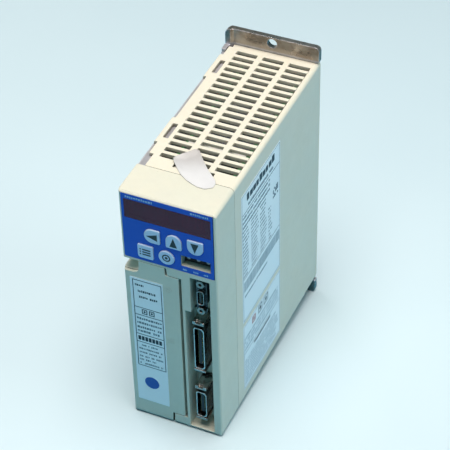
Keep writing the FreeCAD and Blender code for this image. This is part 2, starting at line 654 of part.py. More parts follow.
# ---------------------------------------------------------------- terminal cover
def build_door():
    back = FRONT_Y + DOOR_T            # inner face of the panel
    beyond = CASE_LEFT - 1             # outside the case, trimmed by the envelope
    slope_x = STEP_X - 0.35
    bottom, top = DOOR_STEP_BOTTOM, DOOR_STEP_TOP
    panel = prism_y([(beyond, DOOR_TOP), (slope_x, DOOR_TOP, 0.5), (STEP_X, top),
                     (HINGE_X, top), (HINGE_X, bottom), (STEP_X, bottom),
                     (slope_x, DOOR_BOTTOM - 1), (beyond, DOOR_BOTTOM - 1)],
                    FRONT_Y, back).common(ENVELOPE)
    # returns on the left and at the bottom, following the case outline
    left_return = box(beyond, CASE_LEFT + 1.5, back - 1.2, -122.0, DOOR_BOTTOM, 22.0)
    bottom_return = box(beyond, STEP_X - 0.5, back - 1.2, -122.0,
                        DOOR_BOTTOM - 1, DOOR_BOTTOM + 1.5)
    returns = fuse(left_return, bottom_return).common(ENVELOPE)
    # extra body behind the rounded left edge so that the rounding has material
    corner = box(beyond, CASE_LEFT + 3.0, back - 1.2, back + 1.0,
                 DOOR_BOTTOM, 22.0).common(ENVELOPE)
    barrel = cyl_z(HINGE_R, HINGE_X, HINGE_Y, bottom, top - bottom)
    # squared front corner beside the hinge slot; its reach of 3.05 from the hinge axis
    # clears the slot wall at 3.5
    brow_x = 5.0
    brow = box(HINGE_X - 0.5, brow_x, FRONT_Y, HINGE_Y, bottom, top)
    brow = brow.makeFillet(0.5, [
        edge for edge in brow.Edges
        if all(abs(vertex.X - brow_x) < 1e-6 and abs(vertex.Y - FRONT_Y) < 1e-6
               for vertex in edge.Vertexes)])
    web = box(HINGE_X - 3.0, HINGE_X, back - 1.0, back + 0.8, bottom, top)
    pins = [cylinder(PIN_R, (HINGE_X, HINGE_Y, z - side * 0.5), (0, 0, side), 2.9)
            for z, side in ((top, 1), (bottom, -1))]
    rim = box(-13.2, STEP_X - 1.2, back - 0.2, -123.6, DOOR_TOP - 1.4, DOOR_TOP - 0.2)
    latch = box(-19.7, -18.5, back - 0.2, -119.2, -24.0, -14.0)
    ribs = [box(-18.0, HINGE_X - 1.0, back - 0.2, back + 1.2, z - 0.5, z + 0.5)
            for z in (10.0, -20.0, -50.0)]
    door = fuse(panel, returns, corner, barrel, brow, web, *pins, rim, latch, *ribs)
    # finger scoop corner
    return cut(door, prism_y([(-30, SCOOP_Z), (SCOOP_X, SCOOP_Z, SCOOP_R), (SCOOP_X, 40),
                              (-30, 40)], FRONT_Y - 1, -110))


LABEL_T = 0.12
# (x, y, radius) seen from above
TAPE_OUTLINE = [
    (-9.9, -95.4, 0.3), (-1.2, -88.9, 0.3), (15.4, -104.9, 0.4), (16.0, -108.6, 0.4),
    (9.0, -110.6, 0.4), (-2.0, -107.6, 0.4), (-9.4, -97.2, 0.3),
]


def side_label(y0, y1, z0, z1):
    return prism_x(rounded_rect(y0, y1, z0, z1, 0.6), CASE_RIGHT, CASE_RIGHT + LABEL_T)


save("terminal_cover", build_door())
save("terminal_cover_label",
     prism_y(rounded_rect(-20.6, -3.4, -61.8, 21.3, 0.5), FRONT_Y - LABEL_T, FRONT_Y))
save("rating_label", side_label(-100.0, -53.2, -19.0, 61.6))
save("notice_label", side_label(-100.2, -53.2, -65.3, -21.6))
# tape across the top seam
save("seal_tape", prism_z(TAPE_OUTLINE, HALF_H, HALF_H + 0.1))


# ---------------------------------------------------------------- connectors
def dee_prism(rect, y0, y1):
    """D outline: the right corners are rounder than the left ones."""
    left, right, bottom, top = rect
    return prism_y([(left, bottom, 1.0), (right, bottom, 1.9), (right, top, 1.9),
                    (left, top, 1.0)], y0, y1)


def save_half_pitch(name, ways, top, length):
    bottom = top - length
    left, right = CONNECTOR_X - SHELL_W / 2, CONNECTOR_X + SHELL_W / 2
    outer = (left, right, bottom, top)
    gap = 0.03
    save(name + "_shell", cut(dee_prism(outer, -126.8, -116.0),
                              dee_prism(grown(outer, -SHELL_T), -130, -110)))

    base = dee_prism(grown(outer, -SHELL_T - gap), -118.6, -115.9)
    blade = box(CONNECTOR_X - 0.85, CONNECTOR_X + 0.85, -125.4, -118.0, bottom + 2.3, top - 2.3)
    rear = box(left + 0.3, CONTROL_LEFT, -115.9, -106.0, bottom + 0.4, top - 0.4)
    save(name + "_insulator", fuse(base, blade, rear))

    # a row of contacts on each side of the blade
    rows = ways // 2
    contacts = []
    for i in range(rows):
        z = (top + bottom) / 2 + (i - (rows - 1) / 2) * PITCH
        for side in (-1, 1):
            contacts.append(box(CONNECTOR_X + side * 0.85, CONNECTOR_X + side * 1.05,
                                -125.2, -118.6, z - 0.3, z + 0.3))
    save(name + "_contacts", *contacts)

    # latch blocks joined by the mounting flange around the shell
    front, back = -127.3, -116.9
    flange = cut(box(left - 0.35, right + 0.4, -117.6, back, bottom - 1.5, top + 4.7),
                 dee_prism(grown(outer, gap), -130, -110))
    upper = box(left - 0.25, right + 0.35, front, back, top + 2.7, top + 4.7)
    upper = cut(upper,
                box(CONNECTOR_X - 1.3, CONNECTOR_X + 1.3, -128, -125.6, top + 3.5, top + 6),
                cyl_z(0.9, CONNECTOR_X + 0.2, -120.0, top + 3.4, 3))
    lower = box(left - 0.25, right + 0.35, front, back, bottom - 1.5, bottom - 0.2)
    save(name + "_latches", fuse(flange, upper, lower))


for connector, (ways, top, length) in CONNECTORS.items():
    save_half_pitch(connector, ways, top, length)

# small serial connector with jackscrews
SERIAL_RECT = (SERIAL_X - 1.85, SERIAL_X + 1.85, SERIAL_Z - 4.3, SERIAL_Z + 4.3)
JACK_Z = [SERIAL_Z + side * SERIAL_SCREWS for side in (1, -1)]


def build_serial_shell():
    flange = prism_y(rounded_rect(SERIAL_X - 2.7, SERIAL_X + 2.7,
                                  SERIAL_Z - 11.1, SERIAL_Z + 11.1, 2.65), -125.4, -124.7)
    rim = prism_y(rounded_rect(*SERIAL_RECT, 1.5), -127.2, -125.2)
    opening = prism_y(rounded_rect(*grown(SERIAL_RECT, -0.4), 1.2), -130, -110)
    return cut(fuse(flange, rim), opening, *[cyl_y(1.2, SERIAL_X, -126, z, 5) for z in JACK_Z])


def build_serial_insulator():
    bottom, top = SERIAL_Z - 6.6, SERIAL_Z + 6.6
    return fuse(prism_y(rounded_rect(*grown(SERIAL_RECT, -0.43), 1.15), -125.6, -124.6),
                box(12.9, CONTROL_LEFT - 0.4, -124.7, -108.0, bottom, top),
                box(16.0, CONTROL_LEFT, -115.9, -108.0, bottom, top),
                box(SERIAL_X - 0.45, SERIAL_X + 0.45, -126.9, -125.0,
                    SERIAL_Z - 3.1, SERIAL_Z + 3.1))


def serial_contact(i, side):
    z = SERIAL_Z + (i - 2) * PITCH
    return box(SERIAL_X + side * 0.45, SERIAL_X + side * 0.62, -126.7, -125.6,
               z - 0.25, z + 0.25)


def build_jackscrew(z):
    screw = fuse(prism_y(hexagon(SERIAL_X, z, 3.9), -127.0, -125.4),
                 cyl_y(1.15, SERIAL_X, -125.5, z, 4.0))
    return cut(screw, cyl_y(0.85, SERIAL_X, -128, z, 3.2))


save("serial_connector_shell", build_serial_shell())
save("serial_connector_insulator", build_serial_insulator())
save("serial_connector_contacts",
     *[serial_contact(i, side) for i in range(5) for side in (-1, 1)])
save("serial_jackscrews", *[build_jackscrew(z) for z in JACK_Z])


# ---------------------------------------------------------------- terminal block
def save_terminal_block():
    """Block with open-sided pockets, and a plate and a screw in each."""
    block = box(BLOCK_LEFT, BLOCK_RIGHT, BLOCK_FRONT, BLOCK_BACK, BLOCK_BOTTOM, BLOCK_TOP)
    pitch = (BLOCK_TOP - BLOCK_BOTTOM) / TERMINALS
    x = (BLOCK_LEFT + BLOCK_RIGHT) / 2
    plate_left, plate_right = BLOCK_LEFT + 2.2, BLOCK_RIGHT - 0.6
    plate_back = TERMINAL_Y + TERMINAL_PLATE_T
    plates, screws = [], []
    for i in range(TERMINALS):
        z = BLOCK_BOTTOM + (i + 0.5) * pitch
        pocket = pitch / 2 - 0.9
        block = cut(block, box(BLOCK_LEFT + 1.6, BLOCK_RIGHT + 1, BLOCK_FRONT - 1, TERMINAL_Y,
                               z - pocket, z + pocket))
        block = cut(block, cyl_y(1.8, x, TERMINAL_Y - 1, z, 6.5))
        plates.append(cut(box(plate_left, plate_right, TERMINAL_Y, plate_back, z - 3.4, z + 3.4),
                          cyl_y(1.65, x, -115, z, 10)))
        block = cut(block, box(plate_left, plate_right, TERMINAL_Y - 0.1, plate_back,
                               z - 3.4, z + 3.4))
        head = cut_cross(cyl_y(3.1, x, TERMINAL_Y - 2.4, z, 2.4), x, z, -113, -111.6, 2.2, 0.35)
        screws.append(fuse(head, cyl_y(1.6, x, TERMINAL_Y - 0.5, z, 5.4)))
    save("terminal_block", block)
    save("terminal_plates", *plates)
    save("terminal_screws", *screws)


def build_earth_screw(x):
    head = cut_cross(cyl_y(3.5, x, METAL_FRONT - 2.6, EARTH_Z, 2.6), x, EARTH_Z,
                     -110, -108.5, 2.3, 0.4)
    return fuse(head, cyl_y(2.0, x, METAL_FRONT - 0.2, EARTH_Z, 3.4))


save_terminal_block()
save("ground_screws", *[build_earth_screw(x) for x in EARTH_X])


# ---------------------------------------------------------------- boards and standoffs
def drilled_board(board, left):
    for y, z in POSTS:
        board = cut(board, cyl_x(1.6, left - 1, y, z, 4))
    return board


def low_post(y, z):
    """Hexagonal post from the chassis wall to the power board."""
    post = cut(prism_x(hexagon(y, z, 5.5), WALL_FACE, POWER_LEFT),
               cyl_x(TAP_R, POWER_LEFT - 6, y, z, 7))
    return fuse(post, cyl_x(1.5, WALL_FACE - 1.2, y, z, 1.5))


def high_post(y, z):
    """Hexagonal post from the power board to the control board."""
    post = fuse(prism_x(hexagon(y, z, 5.5), POWER_RIGHT, CONTROL_LEFT),
                cyl_x(1.5, POWER_LEFT - 4.5, y, z, 6.5))
    return cut(post, cyl_x(TAP_R, CONTROL_LEFT - 7, y, z, 8))


def board_screw(y, z):
    slot_x0, slot_x1 = CONTROL_RIGHT + 1.0, CONTROL_RIGHT + 3
    head = cut(cyl_x(2.8, CONTROL_RIGHT, y, z, 1.9),
               box(slot_x0, slot_x1, y - 1.8, y + 1.8, z - 0.3, z + 0.3),
               box(slot_x0, slot_x1, y - 0.3, y + 0.3, z - 1.8, z + 1.8))
    return fuse(head, cyl_x(1.5, CONTROL_LEFT - 6, y, z, CONTROL_RIGHT - CONTROL_LEFT + 6.2))


save("power_board", drilled_board(
    box(POWER_LEFT, POWER_RIGHT, BLOCK_BACK, -10.0, -66.0, 66.0), POWER_LEFT))
save("control_board", drilled_board(
    box(CONTROL_LEFT, CONTROL_RIGHT, -115.5, -14.5, -68.0, 66.0), CONTROL_LEFT))
save("board_standoffs", *[low_post(y, z) for y, z in POSTS],
     *[high_post(y, z) for y, z in POSTS])
save("board_screws", *[board_screw(y, z) for y, z in POSTS])


# ------------------------------------- power module and rectifier on the chassis wall
MODULE_HEAD_X = SEAT_FACE + 4.0        # under the heads of the module screws
RECTIFIER_T = 6.5


def build_module():
    module = box(SEAT_FACE, POWER_LEFT - 1.2, -87, -39, -40, 14)
    for y, z in MODULE_SCREWS:
        module = cut(module, cyl_x(1.65, SEAT_FACE - 1, y, z, 12),
                     cyl_x(3.2, MODULE_HEAD_X, y, z, 12))
    return module


def build_rectifier():
    y, z = RECTIFIER_Y, RECTIFIER_Z
    return cut(box(WALL_FACE, WALL_FACE + RECTIFIER_T, y - 11, y + 11, z - 13, z + 13),
               cyl_x(1.65, WALL_FACE - 1, y, z, 12))


save("power_module", build_module())
save("rectifier_bridge", build_rectifier())
save("power_screws",
     *[fuse(cyl_x(1.5, SEAT_FACE - 2.1, y, z, 6.3), cyl_x(2.8, MODULE_HEAD_X, y, z, 2.0))
       for y, z in MODULE_SCREWS],
     fuse(cyl_x(1.5, WALL_FACE - 1.2, RECTIFIER_Y, RECTIFIER_Z, 7.9),
          cyl_x(2.7, WALL_FACE + RECTIFIER_T, RECTIFIER_Y, RECTIFIER_Z, 2.0)))


# ---------------------------------------------------------------- power board parts
def build_reservoir(y):
    """Reservoir capacitor lying across the gap between the boards."""
    length = 26.5
    end_x = POWER_RIGHT + length
    can = cyl_x(10.4, POWER_RIGHT, y, 51.0, length)
    # guards the end fillet: the can keeps a sharp end if it fails
    try:
        can = can.makeFillet(1.0, [edge for edge in can.Edges
                                   if abs(edge.BoundBox.XMin - end_x) < 1e-3
                                   and abs(edge.BoundBox.XMax - end_x) < 1e-3])
    except Exception:
        pass
    return can


def build_core():
    """Ferrite core with two windows."""
    core = box(POWER_RIGHT + 3.0, POWER_RIGHT + 19.0, -96.0, -72.0, 4.0, 30.0)
    x0, x1 = POWER_RIGHT + 2, POWER_RIGHT + 20
    return cut(core, box(x0, x1, -92.5, -88.0, 8.0, 26.0), box(x0, x1, -80.0, -75.5, 8.0, 26.0))


def build_winding():
    """Wound bobbin in the core's windows."""
    x0, x1 = POWER_RIGHT + 2.9, POWER_RIGHT + 19.1
    winding = box(POWER_RIGHT, POWER_RIGHT + 22.0, -92.2, -75.8, 8.3, 25.7)
    return cut(winding, box(x0, x1, -88.1, -79.9, 0, 40), box(x0, x1, -100, -92.45, 0, 40))


def build_choke():
    y, z = -62.0, -18.0
    ring = Part.makeTorus(8.2, 4.0, Vector(POWER_RIGHT + 4.3, y, z), Vector(1, 0, 0))
    base = cut(cyl_x(9.5, POWER_RIGHT, y, z, 1.2), cyl_x(5.0, POWER_RIGHT - 1, y, z, 4))
    return fuse(ring, base)


def build_brace():
    """Brace between the boards with a foot on each."""
    y0, y1, foot, top = -79.0, -74.5, 60.0, 66.5
    return fuse(box(POWER_RIGHT, CONTROL_LEFT, y0, y1, 64.0, top),
                box(POWER_RIGHT, POWER_RIGHT + 2, y0, y1, foot, top),
                box(CONTROL_LEFT - 2, CONTROL_LEFT, y0, y1, foot, top))


save("dc_link_capacitors", *[build_reservoir(y) for y in (-38.0, -61.0)])
save("transformer_core", build_core())
save("transformer_winding", build_winding())
save("inrush_relay", box(POWER_RIGHT, POWER_RIGHT + 15.5, -97.0, -79.0, 36.0, 55.0))
save("film_capacitors", *[
    prism_x(rounded_rect(y - 5.5, y + 5.5, 9.0, 27.0, 1.2), POWER_RIGHT, POWER_RIGHT + 14)
    for y in (-62.0, -48.0, -34.0)])
save("line_choke", build_choke())
save("snubber_capacitors", *[cyl_x(5.0, POWER_RIGHT, y, z, 16.0)
                             for y, z in ((-40.0, -14.0), (-40.0, -28.0), (-26.0, -14.0))])
save("board_brace", build_brace())

# ---------------------------------------------------------------- chips and ribbon
POWER_CHIPS = ((-90, -8), (-90, -26), (-90, -44), (-76, -44))     # centre y, z
# centre y, centre z, width along y, height
CONTROL_CHIPS = (
    (-82, -8, 22, 22), (-52, -10, 16, 16), (-52, -36, 9, 18),
    (-84, -40, 10, 16), (-30, 10, 10, 12), (-90, 28, 9, 12),
)
save("board_chips",
     *[box(POWER_RIGHT, POWER_RIGHT + 4.0, y - 3.5, y + 3.5, z - 5, z + 5)
       for y, z in POWER_CHIPS],
     *[box(CONTROL_LEFT - 2.2, CONTROL_LEFT, y - width / 2, y + width / 2,
           z - height / 2, z + height / 2) for y, z, width, height in CONTROL_CHIPS])


def build_ribbon():
    """Ribbon between display board and control board, with a socket at each end."""
    front, end_x = DISPLAY_BACK + 4.0, CONTROL_LEFT - 4.0
    ribbon = prism_z([(5.0, front), (6.0, front), (6.0, -108.0, 1.6), (end_x, -108.0),
                      (end_x, -107.0), (5.0, -107.0, 2.6)], 46.0, 62.0)
    return fuse(ribbon, box(3.4, 7.6, DISPLAY_BACK, DISPLAY_BACK + 4.2, 45.0, 63.0),
                box(CONTROL_LEFT - 4.2, CONTROL_LEFT, -109.6, -105.4, 45.0, 63.0))


save("display_ribbon", build_ribbon())


# ---------------------------------------------------------------- cover screws
def build_case_screw(z):
    """Screw countersunk into the back plate."""
    screw = fuse(cone_y(1.6, 3.25, COVER_SCREW_X, -1.65, z, 1.65),
                 cyl_y(1.5, COVER_SCREW_X, -11.5, z, 10.4))
    return cut_cross(screw, COVER_SCREW_X, z, -0.8, 1, 1.9, 0.35)


save("case_screws", *[build_case_screw(z) for z in COVER_SCREW_Z])
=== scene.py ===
import math
import random

import bmesh
import bpy
import numpy as np
from mathutils import Matrix, Vector, noise
from mathutils.bvhtree import BVHTree
from mathutils.kdtree import KDTree


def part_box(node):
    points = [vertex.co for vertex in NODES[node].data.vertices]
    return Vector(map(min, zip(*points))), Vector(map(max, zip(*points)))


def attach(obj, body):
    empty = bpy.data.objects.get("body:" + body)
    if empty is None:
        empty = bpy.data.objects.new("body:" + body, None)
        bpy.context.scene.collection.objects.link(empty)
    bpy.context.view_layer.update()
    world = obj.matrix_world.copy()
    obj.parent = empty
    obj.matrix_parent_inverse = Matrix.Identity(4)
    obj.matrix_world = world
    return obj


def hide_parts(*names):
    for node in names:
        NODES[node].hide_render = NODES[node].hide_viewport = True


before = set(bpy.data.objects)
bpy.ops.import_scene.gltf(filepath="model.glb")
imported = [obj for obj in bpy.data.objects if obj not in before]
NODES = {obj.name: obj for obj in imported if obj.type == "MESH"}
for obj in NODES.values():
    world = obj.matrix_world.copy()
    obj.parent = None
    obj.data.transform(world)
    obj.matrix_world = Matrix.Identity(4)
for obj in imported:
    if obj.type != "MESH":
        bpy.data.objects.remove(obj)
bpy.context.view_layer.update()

MM = 0.001


def mm_box(node):
    lo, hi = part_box(node)
    return [v / MM for v in lo], [v / MM for v in hi]


# ------------------------------------------------------------------ node helper
class Mat:
    """Small helper for node materials; coordinates are the object's own, in metres."""

    def __init__(self, name):
        self.m = bpy.data.materials.new(name)
        self.m.use_nodes = True
        self.t = self.m.node_tree
        self.t.nodes.clear()
        self.out = self.n("ShaderNodeOutputMaterial")
        self.b = self.n("ShaderNodeBsdfPrincipled")
        self.l(self.b.outputs[0], self.out.inputs[0])
        self.co = self.n("ShaderNodeTexCoord").outputs["Object"]
        self.geo = self.n("ShaderNodeNewGeometry")

    def n(self, kind, **kw):
        node = self.t.nodes.new(kind)
        for k, v in kw.items():
            setattr(node, k, v)
        return node

    def l(self, a, b):
        self.t.links.new(a, b)

    def put(self, socket, v):
        if isinstance(v, bpy.types.NodeSocket):
            self.l(v, socket)
        elif isinstance(v, (tuple, list)) and len(v) == 3 and socket.type == "RGBA":
            socket.default_value = (*v, 1.0)
        else:
            socket.default_value = v

    def set(self, name, v):
        self.put(self.b.inputs[name], v)

    def scaled(self, s, vec=None, rot=(0, 0, 0)):
        m = self.n("ShaderNodeMapping")
        self.l(vec or self.co, m.inputs["Vector"])
        m.inputs["Scale"].default_value = s if isinstance(s, (tuple, list)) else (s, s, s)
        m.inputs["Rotation"].default_value = rot
        return m.outputs[0]

    def noise(self, scale, detail=3.0, rough=0.55, vec=None, distort=0.0):
        t = self.n("ShaderNodeTexNoise")
        self.l(self.scaled(scale, vec), t.inputs["Vector"])
        t.inputs["Scale"].default_value = 1.0
        t.inputs["Detail"].default_value = detail
        t.inputs["Roughness"].default_value = rough
        t.inputs["Distortion"].default_value = distort
        return t.outputs[0]

    def voronoi(self, scale, feature="F1", out="Distance", rand=1.0):
        t = self.n("ShaderNodeTexVoronoi", feature=feature)
        self.l(self.scaled(scale), t.inputs["Vector"])
        t.inputs["Scale"].default_value = 1.0
        t.inputs["Randomness"].default_value = rand
        return t.outputs[out]

    def math(self, op, a, b=0.0, clamp=False):
        m = self.n("ShaderNodeMath", operation=op, use_clamp=clamp)
        self.put(m.inputs[0], a)
        self.put(m.inputs[1], b)
        return m.outputs[0]

    def step(self, v, lo, hi, a=0.0, b=1.0):
        m = self.n("ShaderNodeMapRange", interpolation_type="SMOOTHSTEP")
        self.put(m.inputs[0], v)
        for i, x in enumerate((lo, hi, a, b)):
            self.put(m.inputs[i + 1], x)
        return m.outputs[0]

    def mix(self, fac, a, b, mode="MIX"):
        m = self.n("ShaderNodeMix", data_type="RGBA", blend_type=mode)
        self.put(m.inputs[0], fac)
        self.put(m.inputs[6], a)
        self.put(m.inputs[7], b)
        return m.outputs[2]

    def dot(self, a, b):
        m = self.n("ShaderNodeVectorMath", operation="DOT_PRODUCT")
        self.put(m.inputs[0], a)
        self.put(m.inputs[1], b)
        return m.outputs["Value"]

    def axis(self, i, vec=None):
        s = self.n("ShaderNodeSeparateXYZ")
        self.l(vec or self.co, s.inputs[0])
        return s.outputs[i]

    def ao(self, dist=0.003, samples=6):
        a = self.n("ShaderNodeAmbientOcclusion", samples=samples)
        a.inputs["Distance"].default_value = dist
        return a.outputs["AO"]

    def edge(self, radius=0.0005):
        """1 along sharp edges, 0 on open faces."""
        e = self.n("ShaderNodeBevel", samples=4)
        e.inputs["Radius"].default_value = radius
        d = self.dot(e.outputs[0], self.geo.outputs["True Normal"])
        return self.step(d, 0.985, 0.86)

    def bump(self, height, strength=0.3, dist=0.0002, prev=None):
        b = self.n("ShaderNodeBump")
        b.inputs["Strength"].default_value = strength
        b.inputs["Distance"].default_value = dist
        self.put(b.inputs["Height"], height)
        if prev is not None:
            self.l(prev, b.inputs["Normal"])
        return b.outputs[0]


def moulded(name, col, col2=None, rough=0.5, grain=1800, grain_s=0.25, hollow_dust_and_shade=0.0, edge_wear_and_highlight=0.0, coat=0.0, spec=0.5, specks=0.0, sss=0.0, gap_dust_and_shade=0.0, hollow_dust_and_shade_col=(0.20, 0.165, 0.11)):
    """Moulded plastic: slow colour drift, fine texture, dust and painted shade in corners and gaps, rubbed edges with a
    painted highlight.
    """
    m = Mat(name)
    col2 = col2 or tuple(c * 0.9 for c in col)
    slow = m.step(m.noise(22, 3, 0.6), 0.32, 0.68)
    c = m.mix(slow, col, col2)
    fine = m.noise(340, 4, 0.6)
    c = m.mix(m.step(fine, 0.25, 0.8, 0.0, 0.16), c, tuple(x * 0.82 for x in col2))
    if specks:
        sp = m.step(m.voronoi(420), 0.10, 0.035)
        gate = m.step(m.noise(60, 2), 0.56, 0.66)
        c = m.mix(m.math("MULTIPLY", m.math("MULTIPLY", sp, gate), specks), c, (0.16, 0.13, 0.09))
    if hollow_dust_and_shade:
        # dust and painted shade: hollows found by ambient occlusion are darkened towards a dark brown
        ao = m.ao(0.0035)
        d = m.math("MULTIPLY", m.step(ao, 0.9, 0.35), hollow_dust_and_shade)
        d = m.math("MULTIPLY", d, m.step(m.noise(120, 3), 0.25, 0.75, 0.55, 1.0))
        c = m.mix(d, c, hollow_dust_and_shade_col)
    if gap_dust_and_shade:
        # painted shade: the narrow gaps between shells are darkened nearly black, for their old dust and the little
        # light that reaches into them
        c = m.mix(m.math("MULTIPLY", m.step(m.ao(0.0016, 8), 0.58, 0.27), gap_dust_and_shade), c, (0.028, 0.022, 0.016))
    if edge_wear_and_highlight:
        # rubbed edges and painted highlight: sharp edges are lightened
        e = m.math("MULTIPLY", m.edge(0.0006), m.step(m.noise(260, 3), 0.42, 0.62, 0.15, 1.0))
        c = m.mix(m.math("MULTIPLY", e, edge_wear_and_highlight), c, tuple(min(1.0, x * 1.25 + 0.04) for x in col))
    m.set("Base Color", c)
    rr = m.step(m.noise(90, 4, 0.6), 0.3, 0.7, rough - 0.07, rough + 0.09)
    m.set("Roughness", rr)
    m.set("Specular IOR Level", spec)
    if coat:
        m.set("Coat Weight", coat)
        m.set("Coat Roughness", 0.18)
    if sss:
        m.set("Subsurface Weight", sss)
        m.set("Subsurface Radius", (0.002, 0.0013, 0.0008))
        m.set("Subsurface Scale", 0.5)
    b = m.bump(m.noise(grain, 3, 0.65), grain_s, 0.00012)
    b = m.bump(m.noise(70, 2, 0.5), 0.12, 0.0004, b)
    m.set("Normal", b)
    return m.m


def metal(name, col, col2=None, rough=0.32, brush=(1, 1, 1), brush_s=0.25, stain=0.0, stain_col=(0.2, 0.16, 0.12), edge_wear_and_highlight=0.0, edge_wear_and_highlight_col=None, highlight_lip_y=None, aniso=0.0, metallic=1.0):
    """Metal with a brushed or rolled grain along one axis, stains, and bright edges and front lip that are partly
    rubbed and partly painted highlight.
    """
    m = Mat(name)
    col2 = col2 or tuple(c * 0.82 for c in col)
    slow = m.step(m.noise(45, 4, 0.6), 0.3, 0.7)
    c = m.mix(slow, col, col2)
    lines = m.noise(tuple(b for b in brush), 3, 0.6)
    c = m.mix(m.step(lines, 0.3, 0.75, 0.0, 0.35), c, tuple(x * 0.6 for x in col2))
    if stain:
        s = m.step(m.noise(75, 5, 0.62, distort=0.6), 0.46, 0.62)
        c = m.mix(m.math("MULTIPLY", s, stain), c, stain_col)
    if highlight_lip_y is not None:
        # painted highlight together with rubbing by plugs: the front lip is lightened
        lip = m.math("MULTIPLY", m.step(m.axis(1), highlight_lip_y * MM + 0.00015, highlight_lip_y * MM - 0.00005), m.step(m.noise(420, 3), 0.3, 0.6, 0.55, 0.9))
        c = m.mix(lip, c, edge_wear_and_highlight_col)
    if edge_wear_and_highlight:
        # rubbed edges and painted highlight: sharp edges are lightened towards a pale colour
        e = m.math("MULTIPLY", m.edge(0.0005), m.step(m.noise(300, 3), 0.35, 0.6, 0.2, 1.0))
        c = m.mix(m.math("MULTIPLY", e, edge_wear_and_highlight), c, edge_wear_and_highlight_col or tuple(min(1.0, x * 1.3 + 0.08) for x in col))
    m.set("Base Color", c)
    m.set("Metallic", metallic)
    m.set("Roughness", m.step(m.noise(160, 4, 0.6), 0.3, 0.7, max(0.08, rough - 0.1), rough + 0.14))
    if aniso:
        m.set("Anisotropic", aniso)
    b = m.bump(lines, brush_s, 0.00006)
    b = m.bump(m.noise(900, 3, 0.6), 0.12, 0.00006, b)
    m.set("Normal", b)
    return m.m


def board(name):
    """Solder mask over copper: lighter tracks and pads."""
    m = Mat(name)
    mask = m.mix(m.step(m.noise(35, 3), 0.3, 0.7), (0.030, 0.150, 0.062), (0.045, 0.19, 0.075))
    tr = m.step(m.voronoi((150, 150, 420), "DISTANCE_TO_EDGE"), 0.055, 0.035)
    tr2 = m.step(m.voronoi((420, 420, 150), "DISTANCE_TO_EDGE"), 0.05, 0.03)
    t = m.math("MAXIMUM", tr, tr2)
    c = m.mix(m.math("MULTIPLY", t, 0.6), mask, (0.09, 0.30, 0.11))
    pads = m.step(m.voronoi(330, rand=0.75), 0.19, 0.15)
    c = m.mix(pads, c, (0.62, 0.60, 0.55))
    m.set("Base Color", c)
    m.set("Metallic", m.math("MULTIPLY", pads, 0.9))
    m.set("Roughness", m.step(m.noise(120, 3), 0.3, 0.7, 0.24, 0.38))
    m.set("Normal", m.bump(m.math("ADD", t, pads), 0.4, 0.00008))
    return m.m


def film(name, col, dark, rough=0.42, coat=0.25, scuff=0.25):
    """Printed film or sheet: almost even colour, soft sheen, light scuffs."""
    m = Mat(name)
    c = m.mix(m.step(m.noise(40, 3), 0.3, 0.7), col, dark)
    sc = m.step(m.noise((260, 260, 26), 4, 0.7), 0.62, 0.74)
    c = m.mix(m.math("MULTIPLY", sc, scuff), c, tuple(min(1, x * 1.15 + 0.035) for x in col))
    m.set("Base Color", c)
    m.set("Roughness", m.step(m.noise(150, 4), 0.3, 0.7, rough - 0.08, rough + 0.1))
    m.set("Coat Weight", coat)
    m.set("Coat Roughness", 0.22)
    m.set("Normal", m.bump(m.noise(1400, 3), 0.10, 0.00008))
    return m.m


def ink(name, col, fade=0.25, rough=0.5):
    """Printing ink, a little uneven."""
    m = Mat(name)
    c = m.mix(m.step(m.noise(700, 3), 0.35, 0.75, 0.0, fade), col, tuple(min(1, x + 0.22) for x in col))
    m.set("Base Color", c)
    m.set("Roughness", m.step(m.noise(300, 2), 0.3, 0.7, rough - 0.06, rough + 0.08))
    m.set("Normal", m.bump(m.noise(2500, 2), 0.08, 0.00004))
    return m.m


def aluminium():
    """Rolled and anodised sheet: pale and satin over the body, browner and more stained on the two mounting lugs."""
    m = Mat("chassis_aluminium")
    lug = m.step(m.math("ABSOLUTE", m.axis(2)), 0.0732, 0.0742)
    slow = m.step(m.noise(45, 4, 0.6), 0.3, 0.7)
    body = m.mix(slow, (0.57, 0.55, 0.57), (0.50, 0.48, 0.50))
    ears = m.mix(slow, (0.42, 0.375, 0.33), (0.33, 0.29, 0.25))
    lines = m.noise((60, 60, 1900), 3, 0.6)
    stain = m.step(m.noise(75, 5, 0.62, distort=0.6), 0.46, 0.64)
    body = m.mix(m.math("MULTIPLY", stain, 0.22), body, (0.42, 0.36, 0.30))
    ears = m.mix(m.math("MULTIPLY", stain, 0.6), ears, (0.17, 0.125, 0.09))
    c = m.mix(lug, body, ears)
    c = m.mix(m.step(lines, 0.3, 0.75, 0.0, 0.22), c, (0.30, 0.28, 0.27))
    # painted shade: narrow gaps beside the sheet are darkened nearly black
    c = m.mix(m.math("MULTIPLY", m.step(m.ao(0.0016, 8), 0.55, 0.25), 0.85), c, (0.045, 0.035, 0.03))
    # painted highlight together with rubbing: sharp edges are lightened towards pale lilac
    e = m.math("MULTIPLY", m.edge(0.0007), m.step(m.noise(300, 3), 0.35, 0.6, 0.35, 1.0))
    c = m.mix(m.math("MULTIPLY", e, 0.85), c, (0.86, 0.84, 0.93))
    m.set("Base Color", c)
    m.set("Metallic", m.step(lug, 0.0, 1.0, 0.45, 0.85))
    m.set("Roughness", m.math("ADD", m.step(m.noise(160, 4, 0.6), 0.3, 0.7, 0.28, 0.50), m.math("MULTIPLY", lug, -0.05)))
    m.set("Normal", m.bump(m.noise(900, 3, 0.6), 0.12, 0.00006, m.bump(lines, 0.35, 0.00006)))
    return m.m


